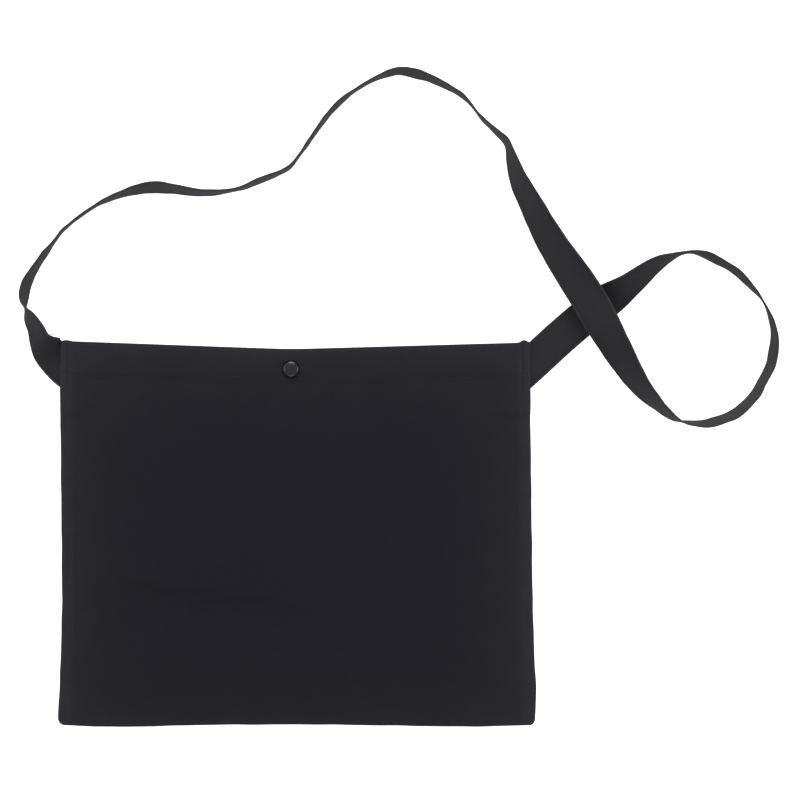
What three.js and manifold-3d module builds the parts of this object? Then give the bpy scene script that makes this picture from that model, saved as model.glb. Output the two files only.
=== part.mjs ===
// A cycling musette: a thin cotton shoulder bag lying on its back, with its strap laid out on the surface
// beside it.
// Millimetres. +Z is up from that surface, +Y runs from the bag's base to its mouth and +X to the right.
// The origin is the middle of the bag, on the face of the back panel that it rests on.
import * as THREE from "three";
import { mergeVertices } from "three/addons/utils/BufferGeometryUtils.js";
import Module from "manifold-3d";

// Bag
const BAG_WIDTH = 400;
const BAG_HEIGHT = 326;
const MOUTH_DIP = 6.6; // how far the mouth's edge sags below the top corners
const MOUTH_FALL = 1.3; // how much lower the mouth's edge lies at the right than at the left
const DIP_ROUND = 0.06; // share of the width over which the bottom of that sag is rounded
const LOFT = 7.2; // how far the front stands up between its seams
const LOFT_RUN = 75; // distance in from a seam over which the front rises
const MOUTH_LOFT = 0.8; // share of the loft that is left at the mouth
const MOUTH_RUN = 70; // distance down from the mouth over which the full loft is reached

// Cloth
const CLOTH = 1;
const SEAM_ALLOWANCE = 10; // the edge that is turned in along the sides and the base
const HEM_DEPTH = 30; // the edge that is turned in at the mouth
const GAP = 0.3; // clearance between pieces that touch

// Strap
const STRAP_WIDTH = 30;
const STRAP_THICKNESS = 1.4;
const STRAP_RISE = 247; // from the strap's middle at the seams up to the top of its arch
const RING_REACH = 204; // from the right seam out to the far side of the ring
const BEND_REACH = 27; // from the left seam out to the bend beside it
const RIGHT_EXIT = 41; // angle above the horizontal at which the strap leaves the right seam
const LEFT_EXIT = 38;
const STRAP_INSET = 8; // length of strap held between the seam allowances, measured across the seam
const CORNER_INSET = 0.6; // from the bag's top corner down to the strap's upper edge
const SLANT_RUN = 24; // length over which the strap's slanted end becomes square
const SETTLE_RUN = 38; // length over which the strap comes down from the seam to the surface
const FLAT_RUN = 20; // length over which the strap starts to twist after its held end
const CROSSING_RUN = 80; // length over which the upper pass climbs onto the lower one
const CROSSING_LEAN = 8; // how far the lower pass tilts under the upper one, in degrees

// Snap fastener
const SNAP_OFFSET = -4; // from the bag's middle
const SNAP_DROP = 17.2; // from the mouth's edge
const CAP_DIAMETER = 15;
const CAP_RISE = 2.2;
const BACK_CAP_DIAMETER = 13;
const BACK_CAP_THICKNESS = 1.2;
const SOCKET_DIAMETER = 12;
const SOCKET_DEPTH = 2.6;
const SOCKET_ROOF = 0.7;
const STUD_FLANGE_DIAMETER = 11;
const STUD_FLANGE_THICKNESS = 0.8;
const STUD_KNOB_DIAMETER = 6;
const POST_DIAMETER = 3;
const POST_GRIP = 0.9; // how far a post reaches into the piece that it is riveted to
const SEAT_RADIUS = 9; // the cloth is flat this far round the snap
const SEAT_RUN = 34; // and blends into the bag's own form over this distance

// Facets
const PANEL_COLUMNS = 31;
const PANEL_ROWS = 25;
const BACK_COLUMNS = 19;
const BACK_ROWS = 15;
const STRAP_STEPS = 170;
const ROUND_SEGMENTS = 20;

// Side edges, from the base up: how far each stands outside the plain rectangle, as a share of the width.
const SIDE_FLARE = [
  { up: 0.0, left: 0.0015, right: 0.005 },
  { up: 0.02, left: 0.0041, right: 0.0067 },
  { up: 0.1, left: 0.0013, right: 0.0083 },
  { up: 0.2, left: -0.002, right: 0.0043 },
  { up: 0.34, left: -0.004, right: 0.0012 },
  { up: 0.58, left: -0.0024, right: -0.0014 },
  { up: 0.85, left: -0.0007, right: -0.0039 },
  { up: 1.0, left: -0.002, right: -0.004 },
];

// Base edge, from left to right: how far it hangs below the plain rectangle, as a share of the height.
const BASE_WAVE = [
  { across: 0.0, drop: -0.0015 },
  { across: 0.13, drop: 0.0033 },
  { across: 0.3, drop: -0.0015 },
  { across: 0.55, drop: -0.0026 },
  { across: 0.87, drop: 0.0025 },
  { across: 1.0, drop: -0.0015 },
];

// Folds and dents in the front: place as shares of width and height, turn of the long way in degrees,
// length and half width as shares of the width, and height as a share of the loft.
const FOLDS = [
  { across: 0.38, up: 0.33, turn: 12, long: 0.26, wide: 0.045, high: -0.16 },
  { across: 0.43, up: 0.22, turn: 8, long: 0.22, wide: 0.04, high: 0.09 },
  { across: 0.2, up: 0.84, turn: 78, long: 0.12, wide: 0.03, high: -0.12 },
  { across: 0.31, up: 0.86, turn: 96, long: 0.12, wide: 0.03, high: 0.1 },
  { across: 0.67, up: 0.83, turn: 105, long: 0.14, wide: 0.035, high: -0.13 },
  { across: 0.82, up: 0.62, turn: 62, long: 0.2, wide: 0.05, high: 0.09 },
  { across: 0.12, up: 0.48, turn: 84, long: 0.2, wide: 0.04, high: 0.08 },
  { across: 0.74, up: 0.16, turn: -14, long: 0.18, wide: 0.04, high: -0.1 },
];

// The strap's route along its middle. Across: 0 is the left seam and 1 the right one, and past them a share
// of the bend's or the ring's reach. Up: a share of the rise. Lean: 0 or 180 lies flat, and 90 stands on one
// edge.
const STRAP_ROUTE = [
  { across: 1.1235, up: 0.093, lean: 0 },
  { across: 1.24, up: 0.175, lean: 3 },
  { across: 1.297, up: 0.209, lean: CROSSING_LEAN },
  { across: 1.376, up: 0.251, lean: 36 },
  { across: 1.447, up: 0.2965, lean: 52 },
  { across: 1.508, up: 0.336, lean: 62 },
  { across: 1.57, up: 0.362, lean: 78 },
  { across: 1.651, up: 0.3845, lean: 92.5 },
  { across: 1.712, up: 0.377, lean: 86.5 },
  { across: 1.7735, up: 0.351, lean: 88 },
  { across: 1.84, up: 0.32, lean: 89.5 },
  { across: 1.897, up: 0.273, lean: 92.5 },
  { across: 1.952, up: 0.22, lean: 101 },
  { across: 1.984, up: 0.165, lean: 97 },
  { across: 2.002, up: 0.101, lean: 92 },
  { across: 1.995, up: 0.033, lean: 86 },
  { across: 1.984, up: -0.006, lean: 87 },
  { across: 1.943, up: -0.069, lean: 86 },
  { across: 1.9225, up: -0.102, lean: 84.5 },
  { across: 1.84, up: -0.167, lean: 81 },
  { across: 1.776, up: -0.188, lean: 79 },
  { across: 1.718, up: -0.2015, lean: 80.5 },
  { across: 1.65, up: -0.198, lean: 83.5 },
  { across: 1.6025, up: -0.1905, lean: 91.5 },
  { across: 1.527, up: -0.141, lean: 103 },
  { across: 1.446, up: -0.069, lean: 118.5 },
  { across: 1.341, up: 0.066, lean: 142 },
  { across: 1.237, up: 0.221, lean: 166 },
  { across: 1.108, up: 0.386, lean: 143.5 },
  { across: 1.049, up: 0.469, lean: 133.5 },
  { across: 0.999, up: 0.549, lean: 123.5 },
  { across: 0.973, up: 0.6295, lean: 114.5 },
  { across: 0.9565, up: 0.7105, lean: 100 },
  { across: 0.9485, up: 0.7585, lean: 93 },
  { across: 0.9295, up: 0.787, lean: 89.5 },
  { across: 0.8905, up: 0.847, lean: 85 },
  { across: 0.8725, up: 0.8865, lean: 85 },
  { across: 0.849, up: 0.922, lean: 86.5 },
  { across: 0.785, up: 0.9755, lean: 91.5 },
  { across: 0.747, up: 0.9935, lean: 93.5 },
  { across: 0.714, up: 0.999, lean: 90.5 },
  { across: 0.6465, up: 0.953, lean: 84.5 },
  { across: 0.582, up: 0.8715, lean: 89 },
  { across: 0.508, up: 0.709, lean: 86 },
  { across: 0.487, up: 0.6685, lean: 86.5 },
  { across: 0.416, up: 0.62, lean: 90.5 },
  { across: 0.385, up: 0.599, lean: 86 },
  { across: 0.309, up: 0.585, lean: 93 },
  { across: 0.206, up: 0.604, lean: 101 },
  { across: 0.14, up: 0.583, lean: 91.5 },
  { across: 0.0785, up: 0.54, lean: 83.5 },
  { across: 0.0115, up: 0.46, lean: 81.5 },
  { across: -0.09, up: 0.423, lean: 81.5 },
  { across: -0.37, up: 0.384, lean: 85.5 },
  { across: -0.862, up: 0.302, lean: 90.5 },
  { across: -1.02, up: 0.261, lean: 94 },
  { across: -1.063, up: 0.205, lean: 86.5 },
  { across: -0.945, up: 0.168, lean: 65 },
  { across: -0.71, up: 0.121, lean: 52 },
  { across: -0.572, up: 0.0765, lean: 43 },
  { across: -0.28, up: 0.036, lean: 24 },
];

const wasm = await Module();
wasm.setup();

const radians = THREE.MathUtils.degToRad;
const mix = THREE.MathUtils.lerp;

// 0 before the start, 1 after the end and a smooth rise between.
function ease(value, start, end) {
  return THREE.MathUtils.smoothstep(value, start, end);
}

// A smooth curve through the rows of a table: the value of one column at a place along another.
function alongTable(table, place, column, at) {
  const last = table.length - 1;
  let i = 0;
  while (i < last - 1 && at > table[i + 1][place]) i += 1;
  const [a, b] = [table[i], table[i + 1]];
  const before = table[Math.max(i - 1, 0)];
  const after = table[Math.min(i + 2, last)];
  const span = b[place] - a[place];
  const t = (at - a[place]) / span;
  const slopeA = (b[column] - before[column]) / (b[place] - before[place]);
  const slopeB = (after[column] - a[column]) / (after[place] - a[place]);
  const bend = slopeA * t * (1 - t) * (1 - t) - slopeB * t * t * (1 - t);
  return mix(a[column], b[column], t * t * (3 - 2 * t)) + bend * span;
}

// Distances of the grid lines along one side of a panel. They are closer at the rounded rims and they
// include both sides of the step where a turned-in edge ends.
function gridLines(length, firstBand, lastBand, count) {
  const start = [0, CLOTH / 2, 2 * CLOTH, firstBand, firstBand + CLOTH / 2];
  const end = [lastBand + CLOTH / 2, lastBand, 2 * CLOTH, CLOTH / 2, 0];
  const from = start[start.length - 1];
  const to = length - end[0];
  const lines = start.slice();
  for (let i = 1; i < count; i += 1) lines.push(mix(from, to, i / count));
  return lines.concat(end.map((distance) => length - distance));
}

// The height of the mouth's edge at a share of the width: a shallow V with a rounded bottom, which falls a
// little to the right.
function mouthEdge(across) {
  const low = 0.5 + SNAP_OFFSET / BAG_WIDTH;
  const away = across < low ? (low - across) / low : (across - low) / (1 - low);
  const rounded = Math.hypot(away, DIP_ROUND) / Math.hypot(1, DIP_ROUND);
  return BAG_HEIGHT / 2 - MOUTH_DIP * (1 - rounded) - MOUTH_FALL * across;
}

// A place on the bag from its shares of the width and the height, with the distances to its edges.
function placeOnBag(across, up) {
  const left = -BAG_WIDTH * (0.5 + alongTable(SIDE_FLARE, "up", "left", up));
  const right = BAG_WIDTH * (0.5 + alongTable(SIDE_FLARE, "up", "right", up));
  const base = -BAG_HEIGHT * (0.5 + alongTable(BASE_WAVE, "across", "drop", across));
  const mouth = mouthEdge(across);
  const x = mix(left, right, across);
  const y = mix(base, mouth, up);
  const toSide = Math.min(x - left, right - x);
  return { across, up, x, y, toSide, toBase: y - base, toMouth: mouth - y };
}

const snapX = SNAP_OFFSET;
const snapY = mouthEdge(0.5 + SNAP_OFFSET / BAG_WIDTH) - SNAP_DROP;

// Heights in the snap's stack, from the surface up. Each piece keeps the clearance to the one below.
const backSeat = BACK_CAP_THICKNESS + GAP;
const studBase = backSeat + 2 * CLOTH + GAP;
const socketBase = studBase + STUD_FLANGE_THICKNESS + GAP;
const frontSeat = socketBase + SOCKET_DEPTH + GAP;
const capBase = frontSeat + 2 * CLOTH + GAP;

// Height where the two panels meet along the seams, and the strap's place between their allowances.
const seamHeight = 2 * CLOTH + GAP;

// Angle at which the strap leaves a side seam, and the length of seam that its slanted end takes up.
function exitAngle(side) {
  return radians(side > 0 ? RIGHT_EXIT : LEFT_EXIT);
}

function seamSpan(side) {
  return STRAP_WIDTH / Math.cos(exitAngle(side));
}

// How far the front's seam is lifted by the strap's end between the allowances.
function strapLift(place) {
  const below = BAG_HEIGHT / 2 - CORNER_INSET - place.y;
  const reach = seamSpan(place.across - 0.5) + STRAP_INSET + SEAM_ALLOWANCE;
  const inSide = 1 - ease(place.toSide, SEAM_ALLOWANCE, 4 * SEAM_ALLOWANCE);
  const inSpan = 1 - ease(below, reach, reach + SEAM_ALLOWANCE);
  return (STRAP_THICKNESS + GAP) * inSide * inSpan;
}

// One end of a rise from a seam: steep at the seam and level at the end of its run.
function riseFrom(distance) {
  return 1 - Math.pow(1 - Math.min(distance / LOFT_RUN, 1), 2.2);
}

function foldHeight(place) {
  let height = 0;
  for (const fold of FOLDS) {
    const turn = radians(fold.turn);
    const dx = (place.across - fold.across) * BAG_WIDTH;
    const dy = (place.up - fold.up) * BAG_HEIGHT;
    const along = (dx * Math.cos(turn) + dy * Math.sin(turn)) / (fold.long * BAG_WIDTH);
    const aside = (dy * Math.cos(turn) - dx * Math.sin(turn)) / (fold.wide * BAG_WIDTH);
    height += fold.high * Math.exp(-along * along * 2 - aside * aside);
  }
  return height * LOFT;
}

// 1 on the flat seat round the snap and 0 where the bag has its own form.
function snapSeat(place) {
  const away = Math.hypot(place.x - snapX, place.y - snapY);
  return 1 - ease(away, SEAT_RADIUS, SEAT_RADIUS + SEAT_RUN);
}

// Drop of a folded edge, rounded over two cloths.
function rimDrop(place) {
  const away = Math.min(place.toSide, place.toBase, place.toMouth) / (2 * CLOTH);
  return CLOTH * (1 - Math.sqrt(1 - Math.pow(1 - Math.min(away, 1), 2)));
}

function isTurnedIn(place) {
  const inAllowance = Math.min(place.toSide, place.toBase) <= SEAM_ALLOWANCE + CLOTH / 8;
  return inAllowance || place.toMouth <= HEM_DEPTH + CLOTH / 8;
}

function wallAt(place) {
  return isTurnedIn(place) ? 2 * CLOTH : CLOTH;
}

// Height of the front's outer face, before its rims are rounded.
function frontFace(place) {
  const mouthShare = mix(MOUTH_LOFT, 1, ease(place.toMouth, 0, MOUTH_RUN));
  const rise = riseFrom(place.toSide) * riseFrom(place.toBase) * mouthShare;
  const free = seamHeight + 2 * CLOTH + strapLift(place) + LOFT * rise + foldHeight(place) * rise;
  return mix(free, frontSeat + 2 * CLOTH, snapSeat(place));
}

function frontLayers(place) {
  const face = frontFace(place);
  return { high: face - rimDrop(place), low: face - wallAt(place) };
}

function backLayers(place) {
  const face = backSeat * snapSeat(place);
  return { low: face + rimDrop(place), high: face + wallAt(place) };
}

// A closed geometry from corner positions and the index of its triangles.
function closedGeometry(positions, triangles) {
  const geometry = new THREE.BufferGeometry();
  geometry.setAttribute("position", new THREE.Float32BufferAttribute(positions, 3));
  geometry.setIndex(triangles);
  return geometry;
}

// A cloth panel: a grid of places with a high and a low face, closed round its rim.
function panelGeometry(columns, rows, layers) {
  const acrossLines = gridLines(BAG_WIDTH, SEAM_ALLOWANCE, SEAM_ALLOWANCE, columns);
  const upLines = gridLines(BAG_HEIGHT, SEAM_ALLOWANCE, HEM_DEPTH, rows);
  const wide = acrossLines.length;
  const tall = upLines.length;
  const high = [];
  const low = [];
  for (const up of upLines) {
    for (const across of acrossLines) {
      const place = placeOnBag(across / BAG_WIDTH, up / BAG_HEIGHT);
      const faces = layers(place);
      high.push(place.x, place.y, faces.high);
      low.push(place.x, place.y, faces.low);
    }
  }
  const count = wide * tall;
  const triangles = [];
  const quad = (a, b, c, d) => triangles.push(a, b, c, a, c, d);
  for (let j = 0; j < tall - 1; j += 1) {
    for (let i = 0; i < wide - 1; i += 1) {
      const a = j * wide + i;
      quad(a, a + 1, a + wide + 1, a + wide);
      quad(count + a, count + a + wide, count + a + wide + 1, count + a + 1);
    }
  }
  const rim = [];
  for (let i = 0; i < wide - 1; i += 1) rim.push(i);
  for (let j = 0; j < tall - 1; j += 1) rim.push(j * wide + wide - 1);
  for (let i = wide - 1; i > 0; i -= 1) rim.push((tall - 1) * wide + i);
  for (let j = tall - 1; j > 0; j -= 1) rim.push(j * wide);
  rim.forEach((a, i) => {
    const b = rim[(i + 1) % rim.length];
    quad(count + a, count + b, b, a);
  });
  return closedGeometry(high.concat(low), triangles);
}

// A closed geometry as a solid that can be joined and cut.
function solidOf(geometry) {
  const bare = geometry.clone();
  bare.deleteAttribute("normal");
  bare.deleteAttribute("uv");
  const merged = mergeVertices(bare, 1e-4);
  return new wasm.Manifold(
    new wasm.Mesh({
      numProp: 3,
      vertProperties: new Float32Array(merged.attributes.position.array),
      triVerts: new Uint32Array(merged.index.array),
    }),
  );
}

function geometryOf(solid) {
  const mesh = solid.getMesh();
  return closedGeometry(Array.from(mesh.vertProperties), Array.from(mesh.triVerts));
}

// A profile of radius and height turned round the upright axis.
function turned(profile) {
  const points = profile.map(([radius, height]) => new THREE.Vector2(radius, height));
  return new THREE.LatheGeometry(points, ROUND_SEGMENTS).rotateX(Math.PI / 2);
}

// The hole that a snap's post passes through.
function postHole() {
  const radius = POST_DIAMETER / 2 + GAP;
  const tall = 4 * (capBase + CAP_RISE);
  const drill = new THREE.CylinderGeometry(radius, radius, tall, ROUND_SEGMENTS).rotateX(Math.PI / 2);
  return drill.translate(snapX, snapY, 0);
}

function pierced(panel) {
  return geometryOf(solidOf(panel).subtract(solidOf(postHole())));
}

function frontPanel() {
  return pierced(panelGeometry(PANEL_COLUMNS, PANEL_ROWS, frontLayers));
}

function backPanel() {
  return pierced(panelGeometry(BACK_COLUMNS, BACK_ROWS, backLayers));
}

// Where the strap's middle meets a side seam, and its way out of the bag there.
function seamExit(side) {
  const angle = exitAngle(side);
  const y = BAG_HEIGHT / 2 - CORNER_INSET - seamSpan(side) / 2;
  const column = side > 0 ? "right" : "left";
  const x = side * BAG_WIDTH * (0.5 + alongTable(SIDE_FLARE, "up", column, 0.5 + y / BAG_HEIGHT));
  return { x, y, outX: side * Math.cos(angle), outY: Math.sin(angle) };
}

const rightSeam = seamExit(1);
const leftSeam = seamExit(-1);

// A row of the route as a point of the plan with its lean.
function routePoint(row) {
  const y = rightSeam.y + row.up * STRAP_RISE;
  let x = mix(leftSeam.x, rightSeam.x, row.across);
  if (row.across > 1) x = rightSeam.x + (row.across - 1) * RING_REACH;
  if (row.across < 0) x = leftSeam.x + row.across * BEND_REACH;
  return { x, y, lean: row.lean };
}

// The strap's end inside a seam, and the point where it passes the seam.
function heldEnd(seam) {
  const inset = STRAP_INSET / Math.abs(seam.outX);
  const inner = { x: seam.x - seam.outX * inset, y: seam.y - seam.outY * inset, lean: 0 };
  return [inner, { x: seam.x, y: seam.y, lean: 0 }];
}

// A smooth run through the route's points at even steps: the points are joined by cubic arcs whose slopes
// follow the points on either side.
function evenRun(points, steps) {
  const reach = [0];
  for (let i = 1; i < points.length; i += 1) {
    const [a, b] = [points[i - 1], points[i]];
    reach.push(reach[i - 1] + Math.hypot(b.x - a.x, b.y - a.y));
  }
  const rows = points.map((point, i) => ({ at: reach[i], ...point }));
  const run = [];
  const total = reach[reach.length - 1];
  for (let i = 0; i <= steps; i += 1) {
    const at = (total * i) / steps;
    run.push({
      x: alongTable(rows, "at", "x", at),
      y: alongTable(rows, "at", "y", at),
      lean: radians(alongTable(rows, "at", "lean", at)),
      at,
    });
  }
  return run;
}

// Gives each step its direction of travel in the plan.
function addDirections(run) {
  run.forEach((step, i) => {
    const before = run[Math.max(i - 1, 0)];
    const after = run[Math.min(i + 1, run.length - 1)];
    const length = Math.hypot(after.x - before.x, after.y - before.y);
    step.dirX = (after.x - before.x) / length;
    step.dirY = (after.y - before.y) / length;
  });
}

// The steps of the earlier and the later pass where the strap crosses itself.
function findCrossing(run) {
  const side = (p, q, r) => (q.x - p.x) * (r.y - p.y) - (q.y - p.y) * (r.x - p.x);
  for (let i = 0; i < run.length - 1; i += 1) {
    for (let j = i + 2; j < run.length - 1; j += 1) {
      const [a, b, c, d] = [run[i], run[i + 1], run[j], run[j + 1]];
      const parted = side(a, b, c) * side(a, b, d) < 0 && side(c, d, a) * side(c, d, b) < 0;
      if (parted) return { lower: i, upper: j };
    }
  }
  return null;
}

// Height of the strap's middle above the surface when its lower edge rests on it.
function standingHeight(step) {
  const upright = (STRAP_WIDTH / 2) * Math.abs(Math.sin(step.lean));
  return upright + (STRAP_THICKNESS / 2) * Math.abs(Math.cos(step.lean));
}

// How high the upper pass has to be carried to clear the lower one.
function crossingHeight(run, crossing) {
  const centre = run[crossing.lower];
  const covered = run.filter((step) => Math.abs(step.at - centre.at) < 0.6 * STRAP_WIDTH);
  return Math.max(...covered.map((step) => 2 * standingHeight(step))) + GAP;
}

function addHeights(run) {
  const total = run[run.length - 1].at;
  run.forEach((step) => {
    const fromEnd = Math.min(step.at, total - step.at);
    step.lean *= ease(fromEnd, 2 * STRAP_INSET, 2 * STRAP_INSET + FLAT_RUN);
  });
  const crossing = findCrossing(run);
  const carried = crossing ? crossingHeight(run, crossing) : 0;
  const centre = crossing ? run[crossing.upper].at : 0;
  run.forEach((step) => {
    const fromEnd = Math.min(step.at, total - step.at) - STRAP_INSET;
    const fromCrossing = Math.abs(step.at - centre);
    const held = seamHeight * (1 - ease(fromEnd, 0, SETTLE_RUN));
    const climbed = carried * (1 - ease(fromCrossing, STRAP_WIDTH / 2, CROSSING_RUN));
    step.z = standingHeight(step) + held + climbed;
  });
}

// The four corners of the strap's section at a step. Near the seams the section is slanted to lie along the
// seam.
function sectionCorners(step, total) {
  const fromEnd = Math.min(step.at, total - step.at);
  const slant = 1 - ease(fromEnd, STRAP_INSET, STRAP_INSET + SLANT_RUN);
  const normal = new THREE.Vector2(-step.dirY, step.dirX);
  const seamWay = new THREE.Vector2(0, Math.sign(normal.y) || 1);
  const ruling = normal.clone().lerp(seamWay, slant);
  ruling.multiplyScalar(STRAP_WIDTH / 2 / ruling.dot(normal));
  const level = Math.cos(step.lean);
  const upright = Math.sin(step.lean);
  const half = new THREE.Vector3(ruling.x * level, ruling.y * level, (STRAP_WIDTH / 2) * upright);
  const thick = new THREE.Vector3(-normal.x * upright, -normal.y * upright, level);
  thick.multiplyScalar(STRAP_THICKNESS / 2);
  const middle = new THREE.Vector3(step.x, step.y, step.z);
  const corner = (a, b) => middle.clone().addScaledVector(half, a).addScaledVector(thick, b);
  return [corner(1, 1), corner(-1, 1), corner(-1, -1), corner(1, -1)];
}

function strap() {
  const points = [...heldEnd(rightSeam), ...STRAP_ROUTE.map(routePoint), ...heldEnd(leftSeam).reverse()];
  const run = evenRun(points, STRAP_STEPS);
  addDirections(run);
  addHeights(run);
  const total = run[run.length - 1].at;
  const positions = [];
  for (const step of run) {
    for (const corner of sectionCorners(step, total)) positions.push(corner.x, corner.y, corner.z);
  }
  const triangles = [];
  const quad = (a, b, c, d) => triangles.push(a, b, c, a, c, d);
  for (let i = 0; i < run.length - 1; i += 1) {
    for (let k = 0; k < 4; k += 1) {
      const next = (k + 1) % 4;
      quad(4 * i + k, 4 * i + next, 4 * i + 4 + next, 4 * i + 4 + k);
    }
  }
  const end = 4 * (run.length - 1);
  quad(3, 2, 1, 0);
  quad(end, end + 1, end + 2, end + 3);
  return closedGeometry(positions, triangles);
}

function snapCap() {
  const radius = CAP_DIAMETER / 2;
  const post = POST_DIAMETER / 2;
  const reach = -(GAP + 2 * CLOTH + GAP + SOCKET_ROOF);
  return turned([
    [0, reach],
    [post, reach],
    [post, 0],
    [radius * 0.94, 0],
    [radius, CAP_RISE * 0.22],
    [radius * 0.98, CAP_RISE * 0.42],
    [radius * 0.85, CAP_RISE * 0.72],
    [radius * 0.6, CAP_RISE * 0.93],
    [radius * 0.3, CAP_RISE],
    [0, CAP_RISE],
  ]);
}

function snapSocket() {
  const radius = SOCKET_DIAMETER / 2;
  const recess = STUD_KNOB_DIAMETER / 2 + GAP;
  const bore = POST_DIAMETER / 2 + GAP;
  const roof = SOCKET_DEPTH - SOCKET_ROOF;
  return turned([
    [recess, 0],
    [radius * 0.93, 0],
    [radius, SOCKET_DEPTH * 0.2],
    [radius, SOCKET_DEPTH * 0.7],
    [radius * 0.9, SOCKET_DEPTH],
    [bore, SOCKET_DEPTH],
    [bore, roof],
    [recess, roof],
    [recess, 0],
  ]);
}

function snapStud() {
  const flange = STUD_FLANGE_DIAMETER / 2;
  const knob = STUD_KNOB_DIAMETER / 2;
  const bore = POST_DIAMETER / 2 + GAP;
  const top = STUD_FLANGE_THICKNESS + SOCKET_DEPTH - SOCKET_ROOF;
  return turned([
    [bore, 0],
    [flange, 0],
    [flange, STUD_FLANGE_THICKNESS],
    [knob * 0.86, STUD_FLANGE_THICKNESS],
    [knob * 0.9, mix(STUD_FLANGE_THICKNESS, top, 0.5)],
    [knob, mix(STUD_FLANGE_THICKNESS, top, 0.75)],
    [knob * 0.85, top],
    [0, top],
    [0, POST_GRIP + GAP],
    [bore, POST_GRIP + GAP],
    [bore, 0],
  ]);
}

function snapBackCap() {
  const radius = BACK_CAP_DIAMETER / 2;
  const post = POST_DIAMETER / 2;
  const reach = studBase + POST_GRIP;
  return turned([
    [0, 0],
    [radius * 0.92, 0],
    [radius, BACK_CAP_THICKNESS * 0.4],
    [radius * 0.95, BACK_CAP_THICKNESS],
    [post, BACK_CAP_THICKNESS],
    [post, reach],
    [0, reach],
  ]);
}

const clothBlack = { color: 0x2a292d, roughness: 0.95, metalness: 0 };
const strapBlack = { color: 0x2e2d31, roughness: 0.9, metalness: 0 };
const capBlack = { color: 0x1e1f23, roughness: 0.35, metalness: 0 };
const innerBlack = { color: 0x26272b, roughness: 0.5, metalness: 0 };

function piece(name, geometry, finish, at = [0, 0, 0]) {
  const mesh = new THREE.Mesh(geometry, new THREE.MeshStandardMaterial(finish));
  mesh.name = name;
  mesh.position.set(...at);
  return mesh;
}

const snap = new THREE.Group();
snap.add(
  piece("snap_cap", snapCap(), capBlack, [0, 0, capBase]),
  piece("snap_socket", snapSocket(), innerBlack, [0, 0, socketBase]),
  piece("snap_stud", snapStud(), innerBlack, [0, 0, studBase]),
  piece("snap_back_cap", snapBackCap(), capBlack),
);
snap.position.set(snapX, snapY, 0);

const bag = new THREE.Group();
bag.add(
  piece("front_panel", frontPanel(), clothBlack),
  piece("back_panel", backPanel(), clothBlack),
  piece("strap", strap(), strapBlack),
  snap,
);

export default bag;
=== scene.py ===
"""A cycling musette: a thin black cotton shoulder bag on its back, with its strap laid out beside it.

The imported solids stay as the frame. The panels, the strap, the stitches and the snap's round pieces are
worked out here as fine surfaces in the same places. Named lengths are millimetres, and a mesh is written in
metres. Origin: the middle of the bag on the surface it rests on. +X points right, +Y from the base to the
mouth and +Z up.
"""

import math

import bpy
import numpy as np
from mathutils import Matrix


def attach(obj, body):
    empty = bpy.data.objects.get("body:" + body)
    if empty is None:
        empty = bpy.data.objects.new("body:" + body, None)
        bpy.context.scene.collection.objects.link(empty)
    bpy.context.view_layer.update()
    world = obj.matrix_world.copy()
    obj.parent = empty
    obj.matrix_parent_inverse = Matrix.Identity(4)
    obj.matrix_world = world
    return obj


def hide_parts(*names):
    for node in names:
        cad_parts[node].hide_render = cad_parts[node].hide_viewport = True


MM = 0.001

# Bag
BAG_WIDTH = 400
BAG_HEIGHT = 326
MOUTH_DIP = 6.6  # how far the mouth's edge sags below the top corners
MOUTH_FALL = 1.3  # how much lower the mouth's edge lies at the right than at the left
DIP_ROUND = 0.06  # share of the width over which the bottom of that sag is rounded
LOFT = 7.2  # how far the front stands up between its seams
LOFT_RUN = 75  # distance in from a seam over which the front rises
LOFT_POWER = 2.2  # how steeply it starts
MOUTH_LOFT = 0.8  # share of the loft that is left at the mouth
MOUTH_RUN = 70  # distance down from the mouth over which the full loft is reached
CORNER_ROUND = 4.5
BUMP_LEFT = 0.9  # height of the low bump in the mouth's edge over the left allowance
BUMP_RIGHT = 2.2
BUMP_INSET = 5.5  # from the side's edge in to the top of that bump
BUMP_REACH = 3.2
SIDE_WOBBLE = 0.25  # unevenness of the side edges
SIDE_WOBBLE_LENGTH = 41
BASE_WOBBLE = 0.2
BASE_WOBBLE_LENGTH = 47

# Cloth
CLOTH = 1
SEAM_ALLOWANCE = 10  # the edge that is turned in along the sides and the base
HEM_DEPTH = 30  # the edge that is turned in at the mouth
GAP = 0.3  # clearance between pieces that touch
FOLD_STEP = 0.6  # run of the round step where a turned-in edge ends
LAYER_STEP = 0.35  # how much lower the outer face lies past a turned-in edge
WIDE_SLACK = 0.55  # height of the cloth's slow unevenness
SMALL_SLACK = 0.22

# Strap
STRAP_WIDTH = 30
STRAP_THICKNESS = 1.4
STRAP_RISE = 247  # from the strap's middle at the seams up to the top of its arch
RING_REACH = 204  # from the right seam out to the far side of the ring
BEND_REACH = 27  # from the left seam out to the bend beside it
RIGHT_EXIT = 41  # angle above the horizontal at which the strap leaves the right seam
LEFT_EXIT = 38
STRAP_INSET = 8  # length of strap held between the seam allowances, measured across the seam
CORNER_INSET = 0.6  # from the bag's top corner down to the strap's upper edge
SLANT_RUN = 24  # length over which the strap's slanted end becomes square
SETTLE_RUN = 38  # length over which the strap comes down from the seam to the surface
FLAT_RUN = 20  # length over which the strap starts to twist after its held end
CROSSING_RUN = 80  # length over which the upper pass climbs onto the lower one
CROSSING_LEAN = 8  # how far the lower pass tilts under the upper one, in degrees
CROSSING_APART = 8  # fewest steps of the line between the two passes
COVERED_SHARE = 0.6  # half length of the lower pass that lies under the upper one, in strap widths
EDGE_RIPPLE = 0.28  # height of the faint ripple of the strap's edges
EDGE_RIPPLE_LENGTH = 23
EDGE_RIPPLE_START = (20, 60)  # distances from the held ends over which it begins
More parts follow.
